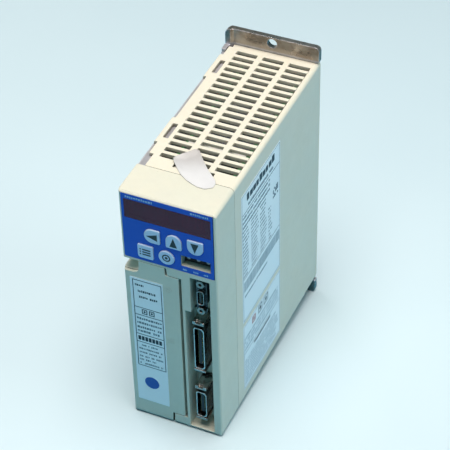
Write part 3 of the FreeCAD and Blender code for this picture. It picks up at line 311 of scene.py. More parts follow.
CREAM = (0.80, 0.745, 0.605)
CREAM_2 = (0.765, 0.725, 0.60)
M = {
    "case": moulded("case_plastic", CREAM, CREAM_2, rough=0.47, grain=2100, grain_s=0.3, hollow_dust_and_shade=0.85, edge_wear_and_highlight=0.35, specks=0.6, sss=0.06, gap_dust_and_shade=0.85, hollow_dust_and_shade_col=(0.13, 0.10, 0.065)),
    "case_front": moulded("case_plastic_front", (0.73, 0.705, 0.575), (0.70, 0.69, 0.575), rough=0.45, grain=2100, grain_s=0.3, hollow_dust_and_shade=0.5, edge_wear_and_highlight=0.35, specks=0.45, sss=0.06, gap_dust_and_shade=0.97),
    "door": moulded("cover_plastic", (0.72, 0.70, 0.57), (0.69, 0.685, 0.57), rough=0.43, grain=2100, grain_s=0.28, hollow_dust_and_shade=0.45, edge_wear_and_highlight=0.35, specks=0.45, sss=0.06, gap_dust_and_shade=0.97),
    "alu": aluminium(),
    "panel": film("panel_blue_film", (0.0015, 0.074, 0.55), (0.002, 0.083, 0.61), rough=0.40, coat=0.12, scuff=0.05),
    "key": moulded("key_grey", (0.62, 0.755, 0.96), (0.575, 0.71, 0.92), rough=0.42, grain=2600, grain_s=0.2, hollow_dust_and_shade=0.3, edge_wear_and_highlight=0.3, sss=0.05),
    "plunger": moulded("plunger_black", (0.022, 0.022, 0.024), rough=0.45),
    "black": moulded("component_black", (0.026, 0.026, 0.03), (0.035, 0.034, 0.036), rough=0.42, grain=1600, hollow_dust_and_shade=0.25),
    "conn_black": moulded("connector_black", (0.012, 0.014, 0.022), (0.018, 0.021, 0.032), rough=0.36, grain=2400, edge_wear_and_highlight=0.25),
    "shell": metal("connector_shell_nickel", (0.27, 0.25, 0.25), (0.19, 0.18, 0.185), rough=0.24, brush=(900, 90, 900), brush_s=0.12, stain=0.3, stain_col=(0.10, 0.08, 0.07), edge_wear_and_highlight=1.0, edge_wear_and_highlight_col=(0.95, 0.88, 0.83), highlight_lip_y=-126.5),
    "serial": metal("serial_flange_metal", (0.13, 0.12, 0.12), (0.085, 0.08, 0.085), rough=0.28, brush=(500, 60, 500), brush_s=0.15, stain=0.3, stain_col=(0.10, 0.08, 0.07), edge_wear_and_highlight=0.9, edge_wear_and_highlight_col=(0.55, 0.51, 0.485), highlight_lip_y=-126.9),
    "latch": metal("connector_latch_metal", (0.56, 0.50, 0.45), (0.42, 0.37, 0.34), rough=0.26, brush=(600, 70, 600), brush_s=0.2, stain=0.45, stain_col=(0.20, 0.14, 0.11), edge_wear_and_highlight=0.8),
    "gold": metal("contact_gold", (0.86, 0.63, 0.26), (0.75, 0.52, 0.20), rough=0.2, brush=(900, 100, 900), brush_s=0.12, edge_wear_and_highlight=0.3),
    "label": film("label_film", (0.965, 0.985, 1.0), (0.935, 0.965, 0.99), rough=0.40, coat=0.18, scuff=0.22),
    "label_front": film("label_film_front", (0.965, 0.985, 1.0), (0.93, 0.96, 0.99), rough=0.42, coat=0.18, scuff=0.22),
    "tin": metal("tinned_pin", (0.50, 0.49, 0.47), (0.42, 0.41, 0.40), rough=0.24, brush=(900, 100, 900), brush_s=0.1, edge_wear_and_highlight=0.3),
    "jack": metal("jackscrew_metal", (0.20, 0.175, 0.155), (0.14, 0.125, 0.115), rough=0.28, brush=(300, 300, 300), brush_s=0.15, stain=0.3, edge_wear_and_highlight=0.9, edge_wear_and_highlight_col=(0.46, 0.39, 0.345), highlight_lip_y=-126.7),
    "steel": metal("screw_zinc", (0.68, 0.68, 0.69), (0.55, 0.55, 0.57), rough=0.28, brush=(300, 300, 300), brush_s=0.2, stain=0.2, edge_wear_and_highlight=0.5),
    "brass": metal("earth_brass", (0.73, 0.56, 0.27), (0.60, 0.45, 0.21), rough=0.27, brush=(300, 300, 300), brush_s=0.2, stain=0.25, edge_wear_and_highlight=0.5),
    "nickel": metal("terminal_plate", (0.74, 0.73, 0.70), (0.62, 0.61, 0.58), rough=0.25, brush=(80, 900, 900), brush_s=0.2, stain=0.15, edge_wear_and_highlight=0.4),
    "block": moulded("terminal_block_plastic", (0.040, 0.041, 0.045), (0.055, 0.055, 0.060), rough=0.44, grain=1500, hollow_dust_and_shade=0.4, edge_wear_and_highlight=0.35),
    "pcb": board("board_laminate"),
    "digit_body": moulded("digit_epoxy", (0.050, 0.045, 0.050), (0.07, 0.06, 0.062), rough=0.35, coat=0.3),
    "sleeve": moulded("capacitor_sleeve", (0.030, 0.038, 0.062), (0.038, 0.046, 0.075), rough=0.26, coat=0.6, grain=900, grain_s=0.1),
    "filmcap": moulded("film_capacitor_box", (0.035, 0.13, 0.36), (0.045, 0.15, 0.40), rough=0.3, coat=0.3, grain=1200),
    "ferrite": moulded("ferrite_core", (0.060, 0.057, 0.058), (0.085, 0.08, 0.078), rough=0.6, grain=700, grain_s=0.5, edge_wear_and_highlight=0.4),
    "nylon": moulded("nylon_white", (0.76, 0.75, 0.70), (0.72, 0.71, 0.66), rough=0.4, hollow_dust_and_shade=0.2, sss=0.1),
    "dark_ink": ink("print_dark", (0.012, 0.020, 0.032), 0.08),
    "grey_ink": ink("print_grey", (0.115, 0.15, 0.18), 0.2),
    "pale_grey_ink": ink("print_pale_grey", (0.27, 0.33, 0.37), 0.3),
    "light_ink": ink("print_light_blue", (0.33, 0.52, 0.74), 0.2),
    "red_ink": ink("print_red", (0.42, 0.075, 0.06), 0.2),
    "blue_ink": ink("sticker_blue", (0.008, 0.085, 0.42), 0.05, 0.38),
    "key_ink": ink("key_symbol_ink", (0.020, 0.030, 0.036), 0.1),
}


# smoked window: tinted, glossy, lets the digits show faintly
def window_material():
    m = Mat("window_smoke")
    tint = m.mix(m.step(m.noise(60, 3), 0.3, 0.7), (0.30, 0.035, 0.085), (0.34, 0.042, 0.10))
    m.set("Base Color", tint)
    m.set("Transmission Weight", 0.70)
    m.set("Specular IOR Level", 0.32)
    m.set("IOR", 1.46)
    m.set("Roughness", m.step(m.noise(240, 4), 0.35, 0.75, 0.05, 0.13))
    m.set("Normal", m.bump(m.noise(500, 2), 0.04, 0.00005))
    return m.m


def segment_material():
    m = Mat("digit_segment")
    m.set("Base Color", m.mix(m.noise(900, 2), (0.30, 0.06, 0.06), (0.36, 0.09, 0.08)))
    m.set("Roughness", m.step(m.noise(400, 2), 0.3, 0.7, 0.3, 0.42))
    m.set("Subsurface Weight", 0.1)
    return m.m


def winding_material():
    """Turns of enamelled wire under clear tape, as fine ridges across the bobbin."""
    m = Mat("winding_wire")
    z = m.axis(2)
    w = m.math("SINE", m.math("MULTIPLY", z, 2 * math.pi / 0.00065))
    ridge = m.step(w, -0.9, 0.9)
    c = m.mix(ridge, (0.16, 0.06, 0.022), (0.62, 0.27, 0.10))
    tape = m.step(m.noise((400, 20, 20), 3), 0.44, 0.6)
    c = m.mix(m.math("MULTIPLY", tape, 0.45), c, (0.66, 0.56, 0.22))
    m.set("Base Color", c)
    m.set("Metallic", 0.55)
    m.set("Roughness", m.step(m.noise(220, 3), 0.3, 0.7, 0.26, 0.4))
    m.set("Normal", m.bump(ridge, 0.5, 0.0002))
    return m.m


M["window"] = window_material()
M["segment"] = segment_material()
M["winding"] = winding_material()

NODE_LOOK = {
    # node: (material, bevel width in mm or 0)
    "main_cover": ("case", 0.22), "front_bezel": ("case_front", 0.22), "terminal_cover": ("door", 0.25),
    "heatsink_chassis": ("alu", 0.25), "panel_overlay": ("panel", 0.06), "display_window": ("window", 0.10),
    "rating_label": ("label", 0.03), "notice_label": ("label", 0.03), "terminal_cover_label": ("label_front", 0.03),
    "tact_switches": ("black", 0.15), "test_pin_header": ("black", 0.15), "inrush_relay": ("black", 0.4),
    "board_chips": ("black", 0.2), "power_module": ("black", 0.4), "rectifier_bridge": ("black", 0.4),
    "io_connector_insulator": ("conn_black", 0.12), "signal_connector_insulator": ("conn_black", 0.12), "serial_connector_insulator": ("conn_black", 0.1),
    "io_connector_shell": ("shell", 0.1), "signal_connector_shell": ("shell", 0.1), "serial_connector_shell": ("serial", 0.1),
    "io_connector_latches": ("latch", 0.15), "signal_connector_latches": ("latch", 0.15),
    "io_connector_contacts": ("gold", 0.04), "signal_connector_contacts": ("gold", 0.04), "serial_connector_contacts": ("gold", 0.04),
    "test_pins": ("tin", 0.08), "serial_jackscrews": ("jack", 0.12), "terminal_screws": ("steel", 0.15),
    "board_screws": ("steel", 0.15), "power_screws": ("steel", 0.15), "case_screws": ("steel", 0.12),
    "display_board_screws": ("steel", 0.12), "board_standoffs": ("steel", 0.15), "ground_screws": ("brass", 0.2),
    "terminal_plates": ("nickel", 0.12), "terminal_block": ("block", 0.25), "display_board": ("pcb", 0.06),
    "control_board": ("pcb", 0.06), "power_board": ("pcb", 0.06), "display_digits": ("digit_body", 0.2),
    "dc_link_capacitors": ("sleeve", 0.0), "snubber_capacitors": ("sleeve", 0.5), "film_capacitors": ("filmcap", 0.4),
    "transformer_core": ("ferrite", 0.4), "transformer_winding": ("winding", 0.3), "line_choke": ("winding", 0.0),
    "board_brace": ("nylon", 0.25), "display_ribbon": ("nylon", 0.15), "seal_tape": ("label", 0.0),
}
for _k in ("left", "up", "down", "mode", "set"):
    NODE_LOOK["key_" + _k] = ("key", 0.0)
    NODE_LOOK["plunger_" + _k] = ("plunger", 0.12)


def edge_table(me):
    """For each mesh edge: the id of its welded edge, and that edge's crease angle in radians (0 where it has no second face)."""
    co = np.empty(len(me.vertices) * 3)
    me.vertices.foreach_get("co", co)
    _, vid = np.unique(np.round(co.reshape(-1, 3) / 1e-7).astype(np.int64), axis=0, return_inverse=True)
    vid = vid.ravel()
    ev = np.empty(len(me.edges) * 2, np.int64)
    me.edges.foreach_get("vertices", ev)
    ev = np.sort(vid[ev.reshape(-1, 2)], axis=1)
    key = ev[:, 0] * (vid.max() + 1) + ev[:, 1]
    uniq, eid = np.unique(key, return_inverse=True)
    eid = eid.ravel()
    le = np.empty(len(me.loops), np.int64)
    me.loops.foreach_get("edge_index", le)
    nrm = np.empty(len(me.polygons) * 3)
    me.polygons.foreach_get("normal", nrm)
    nrm = nrm.reshape(-1, 3)
    tot = np.empty(len(me.polygons), np.int64)
    me.polygons.foreach_get("loop_total", tot)
    face = np.repeat(np.arange(len(tot)), tot)
    e = eid[le]
    order = np.argsort(e, kind="stable")
    e, f = e[order], face[order]
    angle = np.zeros(len(uniq))
    same = np.nonzero(e[1:] == e[:-1])[0]
    d = np.clip((nrm[f[same]] * nrm[f[same + 1]]).sum(1), -1, 1)
    angle[e[same]] = np.arccos(d)
    return eid, angle


def spikes(me, width, sharp_at):
    """Short stretches of edge that a bevel of this width would throw far off the surface, as (point, point) pairs."""
    bm = bmesh.new()
    bm.from_mesh(me)
    bmesh.ops.remove_doubles(bm, verts=bm.verts, dist=2e-6)
    ref = BVHTree.FromBMesh(bm)
    bmesh.ops.dissolve_limit(bm, angle_limit=math.radians(0.6), verts=bm.verts, edges=bm.edges)
    bm.edges.ensure_lookup_table()
    sharp = [e.index for e in bm.edges if len(e.link_faces) == 2 and e.calc_face_angle(0) > sharp_at]
    out = set()
    for _ in range(7):
        b2 = bm.copy()
        b2.edges.ensure_lookup_table()
        bmesh.ops.bevel(b2, geom=[b2.edges[i] for i in sharp if i not in out], offset=width, offset_type="OFFSET",
                        segments=2, profile=0.5, affect="EDGES", clamp_overlap=False, miter_outer="SHARP")
        near = []
        for v in b2.verts:
            hit = ref.find_nearest(v.co, width * 1.3)
            if hit[0] is None:
                near += [e.other_vert(v).co.copy() for e in v.link_edges]
        b2.free()
        if not near:
            break
        kd = KDTree(len(near))
        for i, c in enumerate(near):
            kd.insert(c, i)
        kd.balance()
        more = {i for i in sharp if i not in out and any(kd.find(v.co)[2] < width * 3.2 for v in bm.edges[i].verts)}
        if not more:
            break
        out |= more
    res = [(bm.edges[i].verts[0].co.copy(), bm.edges[i].verts[1].co.copy()) for i in out]
    bm.free()
    return res


CRISP = {"main_cover": [(-19.5, 13.3, -104.0, -95.6)]}     # x and y ranges in mm where edges stay unbevelled


def dress(node, mat, bevel, segments=2):
    o = NODES[node]
    me = o.data
    me.materials.clear()
    me.materials.append(mat)
    if "custom_normal" in me.attributes:
        me.attributes.remove(me.attributes["custom_normal"])
    eid, angle = edge_table(me)
    sharp_at = math.radians(35)
    sharp = angle > sharp_at
    soft = np.zeros(len(sharp), bool)
    if bevel:
        w = bevel * MM
        soft = sharp.copy()
        bad = spikes(me, w, sharp_at)
        if bad:
            co = np.empty(len(me.vertices) * 3)
            me.vertices.foreach_get("co", co)
            ev = np.empty(len(me.edges) * 2, np.int64)
            me.edges.foreach_get("vertices", ev)
            ends = co.reshape(-1, 3)[ev.reshape(-1, 2)]
            mid = ends.mean(1)
            drop = np.zeros(len(mid), bool)
            for a, b in bad:
                a, b = np.array(a), np.array(b)
                d = b - a
                t = np.clip(((mid - a) @ d) / max(float(d @ d), 1e-16), 0, 1)
                drop |= np.linalg.norm(mid - a - t[:, None] * d, axis=1) < 4e-6
            soft[eid[drop]] = False
        if node in CRISP:
            co = np.empty(len(me.vertices) * 3)
            me.vertices.foreach_get("co", co)
            ev = np.empty(len(me.edges) * 2, np.int64)
            me.edges.foreach_get("vertices", ev)
            mid = co.reshape(-1, 3)[ev.reshape(-1, 2)].mean(1) / MM
            for x0, x1, y0, y1 in CRISP[node]:
                soft[eid[(mid[:, 0] > x0) & (mid[:, 0] < x1) & (mid[:, 1] > y0) & (mid[:, 1] < y1)]] = False
        att = me.attributes.new("bevel_weight_edge", "FLOAT", "EDGE")
        att.data.foreach_set("value", soft[eid].astype(np.float32))
    hard = (sharp & ~soft)[eid]
    att = me.attributes.get("sharp_edge") or me.attributes.new("sharp_edge", "BOOLEAN", "EDGE")
    att.data.foreach_set("value", hard)
    me.polygons.foreach_set("use_smooth", np.ones(len(me.polygons), bool))
    m = o.modifiers.new("weld", "WELD")
    m.merge_threshold = 2e-6
    if bevel:
        m = o.modifiers.new("flat", "DECIMATE")
        m.decimate_type = "DISSOLVE"
        m.angle_limit = math.radians(0.6)
        m.delimit = {"SHARP"}
        m = o.modifiers.new("edges", "BEVEL")
        m.width = w
        m.segments = segments
        m.limit_method = "WEIGHT"
        m.use_clamp_overlap = False
        m.miter_outer = "MITER_SHARP"
    m = o.modifiers.new("shade", "WEIGHTED_NORMAL")
    m.mode = "FACE_AREA"
    m.weight = 50
    m.keep_sharp = True


# ------------------------------------------------------------------ mesh helpers
PIECES = []


def finish_piece(me, name, mat, body, smooth=False):
    o = bpy.data.objects.new(name, me)
    bpy.context.scene.collection.objects.link(o)
    me.materials.append(mat)
    for p in me.polygons:
        p.use_smooth = smooth
    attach(o, body)
    PIECES.append(o)
    return o


class Sheet:
    """Flat closed prisms on a plane. to3d(u, v, n) places a point; n is the height above the plane in mm."""

    def __init__(self, to3d, base=0.0, height=0.03):
        self.bm = bmesh.new()
        self.f, self.base, self.height = to3d, base, height

    def poly(self, pts, height=None, base=None, crown=0.0):
        h = self.height if height is None else height
        b0 = self.base if base is None else base
        lo = [self.bm.verts.new(self.f(u, v, b0) * MM) for u, v in pts]
        hi = [self.bm.verts.new(self.f(u, v, b0 + h) * MM) for u, v in pts]
        n = len(pts)
        self.bm.faces.new(lo[::-1])
        if crown:
            cu, cv = sum(p[0] for p in pts) / n, sum(p[1] for p in pts) / n
            ring = [self.bm.verts.new(self.f(cu + (u - cu) * 0.82, cv + (v - cv) * 0.82, b0 + h + crown) * MM) for u, v in pts]
            for i in range(n):
                j = (i + 1) % n
                self.bm.faces.new((hi[i], hi[j], ring[j], ring[i]))
            self.bm.faces.new(ring)
        else:
            self.bm.faces.new(hi)
        for i in range(n):
            j = (i + 1) % n
            self.bm.faces.new((lo[i], lo[j], hi[j], hi[i]))

    def rect(self, u0, u1, v0, v1, **kw):
        self.poly([(u0, v0), (u1, v0), (u1, v1), (u0, v1)], **kw)

    def rrect(self, u0, u1, v0, v1, r, n=4, **kw):
        pts = []
        for cx, cy, a0 in ((u1 - r, v1 - r, 0), (u0 + r, v1 - r, 90), (u0 + r, v0 + r, 180), (u1 - r, v0 + r, 270)):
            for i in range(n + 1):
                a = math.radians(a0 + 90 * i / n)
                pts.append((cx + r * math.cos(a), cy + r * math.sin(a)))
        self.poly(pts, **kw)

    def disc(self, cu, cv, r, n=40, **kw):
        self.poly([(cu + r * math.cos(2 * math.pi * i / n), cv + r * math.sin(2 * math.pi * i / n)) for i in range(n)], **kw)

    def ring(self, outer, inner, height=None):
        """Closed band between two loops with the same number of points."""
        h = self.height if height is None else height
        n = len(outer)
        L = [[self.bm.verts.new(self.f(u, v, self.base + z) * MM) for u, v in loop] for loop in (outer, inner) for z in (0, h)]
        o0, o1, i0, i1 = L
        for i in range(n):
            j = (i + 1) % n
            self.bm.faces.new((o1[i], o1[j], i1[j], i1[i]))
            self.bm.faces.new((o0[j], o0[i], i0[i], i0[j]))
            self.bm.faces.new((o0[i], o0[j], o1[j], o1[i]))
            self.bm.faces.new((i0[j], i0[i], i1[i], i1[j]))

    def frame(self, u0, u1, v0, v1, w):
        self.ring([(u0, v0), (u1, v0), (u1, v1), (u0, v1)], [(u0 + w, v0 + w), (u1 - w, v0 + w), (u1 - w, v1 - w), (u0 + w, v1 - w)])

    def row(self, u0, u1, v, h, rng, unit=1.0, gap=0.32, space=0.14):
        """A line of neutral filler marks: short blocks with uneven widths and word gaps."""
        u = u0
        while u < u1 - 0.2:
            w = unit * rng.uniform(0.45, 1.0)
            if rng.random() < space:
                u += unit * 0.9
                continue
            w = min(w, u1 - u)
            dh = h * rng.uniform(0.0, 0.22)
            self.rect(u, u + w, v - h / 2 + (dh if rng.random() < 0.5 else 0), v + h / 2 - (dh if rng.random() < 0.5 else 0))
            u += w + gap * unit

    def make(self, name, mat, body, smooth=False):
        bmesh.ops.recalc_face_normals(self.bm, faces=self.bm.faces)
        me = bpy.data.meshes.new(name)
        self.bm.to_mesh(me)
        self.bm.free()
        return finish_piece(me, name, mat, body, smooth)


def on_front(y):
    return lambda u, v, n: Vector((u, y - n, v))


def on_right(x):
    return lambda u, v, n: Vector((x + n, u, v))


FRONT = mm_box("front_bezel")[0][1]
rng = random.Random(7)

# ------------------------------------------------------------------ operator panel: legends, window, keys
(px0, py0, pz0), (px1, py1, pz1) = mm_box("panel_overlay")
s = Sheet(on_front(py0), 0.0, 0.02)
s.row(px0 + 2.3, px0 + 15.9, pz1 - 1.45, 1.25, rng, 1.25, 0.25, 0.0)
s.row(px1 - 11.0, px1 - 1.8, pz1 - 1.45, 1.1, rng, 1.1, 0.28, 0.0)
s.make("panel_top_marks", M["light_ink"], "root")
s = Sheet(on_front(py0), 0.0, 0.02)
for cx in (8.9, 14.2, 19.4):
    s.row(cx - 1.2, cx + 1.2, 35.05, 1.0, rng, 0.75, 0.3, 0.0)
s.make("panel_pin_marks", M["light_ink"], "root")

# painted shade: dark blocks behind the check pins darken the back of the pin bay, one round each pin
s = Sheet(on_front(-119.1), height=4.55)
for x0, x1, pin in ((6.9, 11.8, 9.4), (11.95, 16.7, 14.3), (16.85, 21.7, 19.2)):
    z0, z1, pin_z = 37.0, 43.4, 40.2
    outer = []
    for (ax, az), (bx, bz) in (((x0, z0), (x1, z0)), ((x1, z0), (x1, z1)), ((x1, z1), (x0, z1)), ((x0, z1), (x0, z0))):
        outer += [(ax + (bx - ax) * k / 8, az + (bz - az) * k / 8) for k in range(8)]
    inner = []
    for u, v in outer:
        a = math.atan2(v - pin_z, u - pin)
        inner.append((pin + 0.62 * math.cos(a), pin_z + 0.62 * math.sin(a)))
    s.ring(outer, inner)
s.make("pin_bay_shade_blocks", M["black"], "root")


def on_key(node):
    lo, hi = mm_box(node)
    return lo[1], (lo[0] + hi[0]) / 2, (lo[2] + hi[2]) / 2


def tri(cx, cz, pts):
    return [(cx + a, cz + b) for a, b in pts]


KEYS = {"left": (-7.2, 50.4), "up": (3.7, 50.4), "down": (14.5, 50.4), "mode": (-11.0, 39.7), "set": (-0.3, 39.7)}
for k, (cx, cz) in KEYS.items():
    y, _, _ = on_key("key_" + k)
    s = Sheet(on_front(y), 0.0, 0.03)
    if k == "left":
        s.poly([(-10.0, 50.2), (-4.5, 48.3), (-4.5, 52.2)])
    elif k == "up":
        s.poly([(1.7, 47.5), (5.5, 47.5), (3.65, 52.9)])
    elif k == "down":
        s.poly([(12.4, 53.1), (14.35, 47.5), (16.4, 53.1)])
    elif k == "mode":
        # three stacked bars with a marker: a neutral menu sign
        for dz in (1.45, 0.0, -1.45):
            s.rrect(cx - 1.5, cx + 2.7, cz - 0.1 + dz - 0.38, cz - 0.1 + dz + 0.38, 0.18)
            s.disc(cx - 2.5, cz - 0.1 + dz, 0.42, 14)
    else:
        # ring with a dot: a neutral confirm sign
        n = 36
        s.ring([(cx + 2.1 * math.cos(2 * math.pi * i / n), cz + 2.1 * math.sin(2 * math.pi * i / n)) for i in range(n)],
               [(cx + 1.45 * math.cos(2 * math.pi * i / n), cz + 1.45 * math.sin(2 * math.pi * i / n)) for i in range(n)])
        s.disc(cx, cz, 0.75, 20)
    s.make("key_symbol_" + k, M["key_ink"], "key_%s_body" % k)

# seven-segment figures behind the smoked window, unlit
(dx0, dy0, dz0), (dx1, dy1, dz1) = mm_box("display_digits")
s = Sheet(on_front(dy0), 0.0, 0.08)


def segment_h(cx, cz, L, t):
    s.poly([(cx - L / 2, cz), (cx - L / 2 + t / 2, cz - t / 2), (cx + L / 2 - t / 2, cz - t / 2), (cx + L / 2, cz), (cx + L / 2 - t / 2, cz + t / 2), (cx - L / 2 + t / 2, cz + t / 2)])


def segment_v(cx, cz, L, t, lean):
    pts = [(0, -L / 2), (t / 2, -L / 2 + t / 2), (t / 2, L / 2 - t / 2), (0, L / 2), (-t / 2, L / 2 - t / 2), (-t / 2, -L / 2 + t / 2)]
    s.poly([(cx + a + lean * b, cz + b) for a, b in pts])


for i in range(6):
    cx = dx0 + (dx1 - dx0) * (i + 0.5) / 6
    cz = (dz0 + dz1) / 2
    lean, L, t = 0.10, 3.1, 0.62
    for dz in (-3.25, 0, 3.25):
        segment_h(cx + lean * dz, cz + dz, L - 0.5, t)
    for sx in (-1, 1):
        for dz in (-1.62, 1.62):
            segment_v(cx + sx * (L / 2 - 0.02) + lean * dz, cz + dz, 3.0, t, lean)
    s.disc(cx + 2.35, cz - 3.3, 0.36, 14)
s.make("digit_segments", M["segment"], "root")

# ------------------------------------------------------------------ terminal cover label and marks
(lx0, ly0, lz0), (lx1, ly1, lz1) = mm_box("terminal_cover_label")
F = on_front(ly0)
s = Sheet(F, 0.0, 0.02)
s.frame(-19.3, -4.1, -37.5, 20.0, 0.42)
for z in (2.3, -2.7, -15.7, -21.0):
    s.rect(-18.88, -4.52, z - 0.2, z + 0.2)
s.row(-18.0, -13.5, 16.8, 1.3, rng, 0.95, 0.3, 0.0)
s.row(-16.7, -7.5, 13.0, 1.35, rng, 1.0, 0.28, 0.0)
s.row(-16.2, -6.5, 9.3, 1.35, rng, 1.0, 0.28, 0.12)
for u in (-15.3, -11.5):
    s.frame(u, u + 2.9, -1.7, 1.45, 0.5)
    s.rect(u + 0.95, u + 1.95, -0.75, 0.5)
for i in range(7):
    s.rrect(-18.2 + i * 1.86, -18.2 + i * 1.86 + 1.5, -19.75, -16.95, 0.3)
s.make("cover_label_lines", M["dark_ink"], "door")
s = Sheet(F, 0.0, 0.02)
for z, a, b in ((-5.1, -18.2, -5.0), (-8.0, -18.2, -5.2), (-10.9, -18.2, -5.0), (-13.4, -18.2, -6.6)):
    s.row(a, b, z, 1.35, rng, 1.35, 0.22, 0.04)
for z, a, b in ((-23.1, -16.6, -8.0), (-25.6, -18.2, -5.4), (-28.1, -18.0, -6.4), (-30.75, -18.0, -5.4), (-33.1, -18.1, -9.5), (-35.6, -18.1, -5.8)):
    s.row(a, b, z, 1.05, rng, 0.95, 0.26, 0.10)
s.make("cover_label_rows", M["grey_ink"], "door")
s = Sheet(F, 0.0, 0.05)
s.disc(-12.4, -48.3, 3.9, 48, crown=0.03)
s.make("cover_blue_dot", M["blue_ink"], "door", smooth=False)

# raised marks moulded in the cover beside the label
door_y = mm_box("terminal_cover")[0][1]
s = Sheet(on_front(door_y), -0.05, 0.17)
n = 28
s.ring([(-0.5 + 1.7 * math.cos(2 * math.pi * i / n), 18.9 + 1.7 * math.sin(2 * math.pi * i / n)) for i in range(n)],
       [(-0.5 + 1.35 * math.cos(2 * math.pi * i / n), 18.9 + 1.35 * math.sin(2 * math.pi * i / n)) for i in range(n)])
s.rect(-1.1, 0.1, 18.7, 19.1)
for i in range(4):
    for j in range(4):
        s.disc(-2.1 + i * 0.95, -13.0 - j * 0.95, 0.2, 10)
s.make("cover_raised_marks", M["door"], "door")

# ------------------------------------------------------------------ side labels
(rx0, ry0, rz0), (rx1, ry1, rz1) = mm_box("rating_label")
R = on_right(rx1)
s = Sheet(R, 0.0, 0.02)
s.frame(ry0 + 0.7, ry1 - 0.7, rz0 + 0.7, rz1 - 0.7, 0.22)
for i in range(9):
    s.rrect(-93.5 + i * 3.75, -93.5 + i * 3.75 + (3.2 if i % 3 else 2.7), 54.7, 58.9 - (0.9 if i % 4 else 0.0), 0.45)
s.rect(-98.8, -54.4, 49.0, 49.35)
s.rect(-98.8, -54.4, 8.8, 9.1)
s.make("rating_label_lines", M["dark_ink"], "root")
s = Sheet(R, 0.0, 0.02)
s.row(-92.0, -62.0, 51.6, 1.7, rng, 1.3, 0.25, 0.06)
for z in (47.0, 44.2, 41.4):
    s.row(-98.6, -66.0, z, 1.45, rng, 1.1, 0.28, 0.08)
z = 38.8
while z > 10.5:
    for a, b in ((-98.8, -91.5), (-89.0, -80.0), (-78.2, -70.0), (-68.0, -63.4)):
        e = b - rng.uniform(0, 2.2)
        if not (a > -70 and z > 30):
            s.row(a, e, z, 1.0, rng, 0.85, 0.3, 0.12)
    z -= 2.35
for i in range(5):
    for j in range(5):
        if rng.random() < 0.62:
            s.rect(-62.3 + i * 1.3, -61.1 + i * 1.3, 31.8 + j * 1.25, 32.95 + j * 1.25)
s.row(-97.5, -70.0, -3.0, 1.2, rng, 1.0, 0.28, 0.08)
s.make("rating_label_rows", M["grey_ink"], "root")
s = Sheet(R, 0.0, 0.018)
x = -98.2
while x < -54.4:
    w = rng.uniform(0.25, 0.75)
    s.rect(x, min(x + w, -54.2), 0.2, 6.7)
    x += w + rng.uniform(0.18, 0.4)
s.make("rating_label_code", M["pale_grey_ink"], "root")

(nx0, ny0, nz0), (nx1, ny1, nz1) = mm_box("notice_label")
s = Sheet(R, 0.0, 0.02)
s.frame(ny0 + 0.6, ny1 - 0.6, nz0 + 0.6, nz1 - 0.6, 0.2)
for a, b in ((-81.3, -76.5), (-74.5, -69.0)):
    s.frame(a, b, -28.5, -23.5, 0.55)
    s.disc((a + b) / 2, -26.0, 1.15, 20)
s.rect(-99.2, -54.4, -41.1, -40.85)
s.row(-87.0, -66.0, -43.0, 1.8, rng, 1.4, 0.25, 0.06)
s.make("notice_label_lines", M["dark_ink"], "root")
s = Sheet(R, 0.0, 0.02)
for z in (-31.2, -33.6, -36.0, -38.4):
    s.row(-98.6, -55.2 - rng.uniform(0, 8), z, 1.25, rng, 1.0, 0.28, 0.1)
z = -46.6
while z > -63.8:
    s.row(-98.6, -55.2 - rng.uniform(0, 5), z, 0.95, rng, 0.8, 0.32, 0.12)
    z -= 1.95
s.make("notice_label_rows", M["pale_grey_ink"], "root")
s = Sheet(R, 0.0, 0.02)
s.frame(-89.2, -85.0, -28.4, -24.2, 0.7)
s.disc(-87.1, -26.3, 0.95, 20)
s.make("notice_label_mark", M["red_ink"], "root")


# ------------------------------------------------------------------ loose film across the top seam
def film_sheet():
    m = Mat("seal_film")
    c = m.mix(m.step(m.noise(70, 3), 0.3, 0.7), (0.79, 0.78, 0.775), (0.73, 0.72, 0.72))
    # painted shade: the film is greyer towards the rear left, where it lifts and lies over the dark open slots
    far = m.math("SUBTRACT", m.axis(1), m.math("MULTIPLY", m.axis(0), 0.35))
    c = m.mix(m.step(far, -0.108, -0.088), c, (0.47, 0.44, 0.42))
    m.set("Base Color", c)
    m.set("Roughness", m.step(m.noise(180, 4), 0.3, 0.7, 0.34, 0.5))
    m.set("Subsurface Weight", 0.25)
    m.set("Subsurface Radius", (0.002, 0.002, 0.002))
    m.set("Subsurface Scale", 0.4)
    m.set("Sheen Weight", 0.15)
    m.set("Normal", m.bump(m.noise(500, 4, 0.65), 0.15, 0.0002))
    return m.m


M["tape"] = film_sheet()
top_z = mm_box("main_cover")[1][2]
left_edge = [(-2.4, -89.6), (-9.6, -98.0), (-8.6, -99.9), (-5.6, -103.2), (-1.6, -107.2), (2.4, -109.9), (5.9, -111.4), (9.2, -112.6)]
right_edge = [(-0.2, -89.2), (4.6, -95.0), (8.4, -99.3), (11.6, -102.2), (14.6, -104.9), (15.9, -107.4), (15.9, -110.2), (13.0, -112.4)]


def along(path, t):
    d = [0.0]
    for a, b in zip(path, path[1:]):
        d.append(d[-1] + math.dist(a, b))
    x = t * d[-1]
    for i in range(len(path) - 1):
        if x <= d[i + 1] + 1e-9:
            f = (x - d[i]) / (d[i + 1] - d[i])
            return tuple(path[i][k] + (path[i + 1][k] - path[i][k]) * f for k in (0, 1))
    return path[-1]


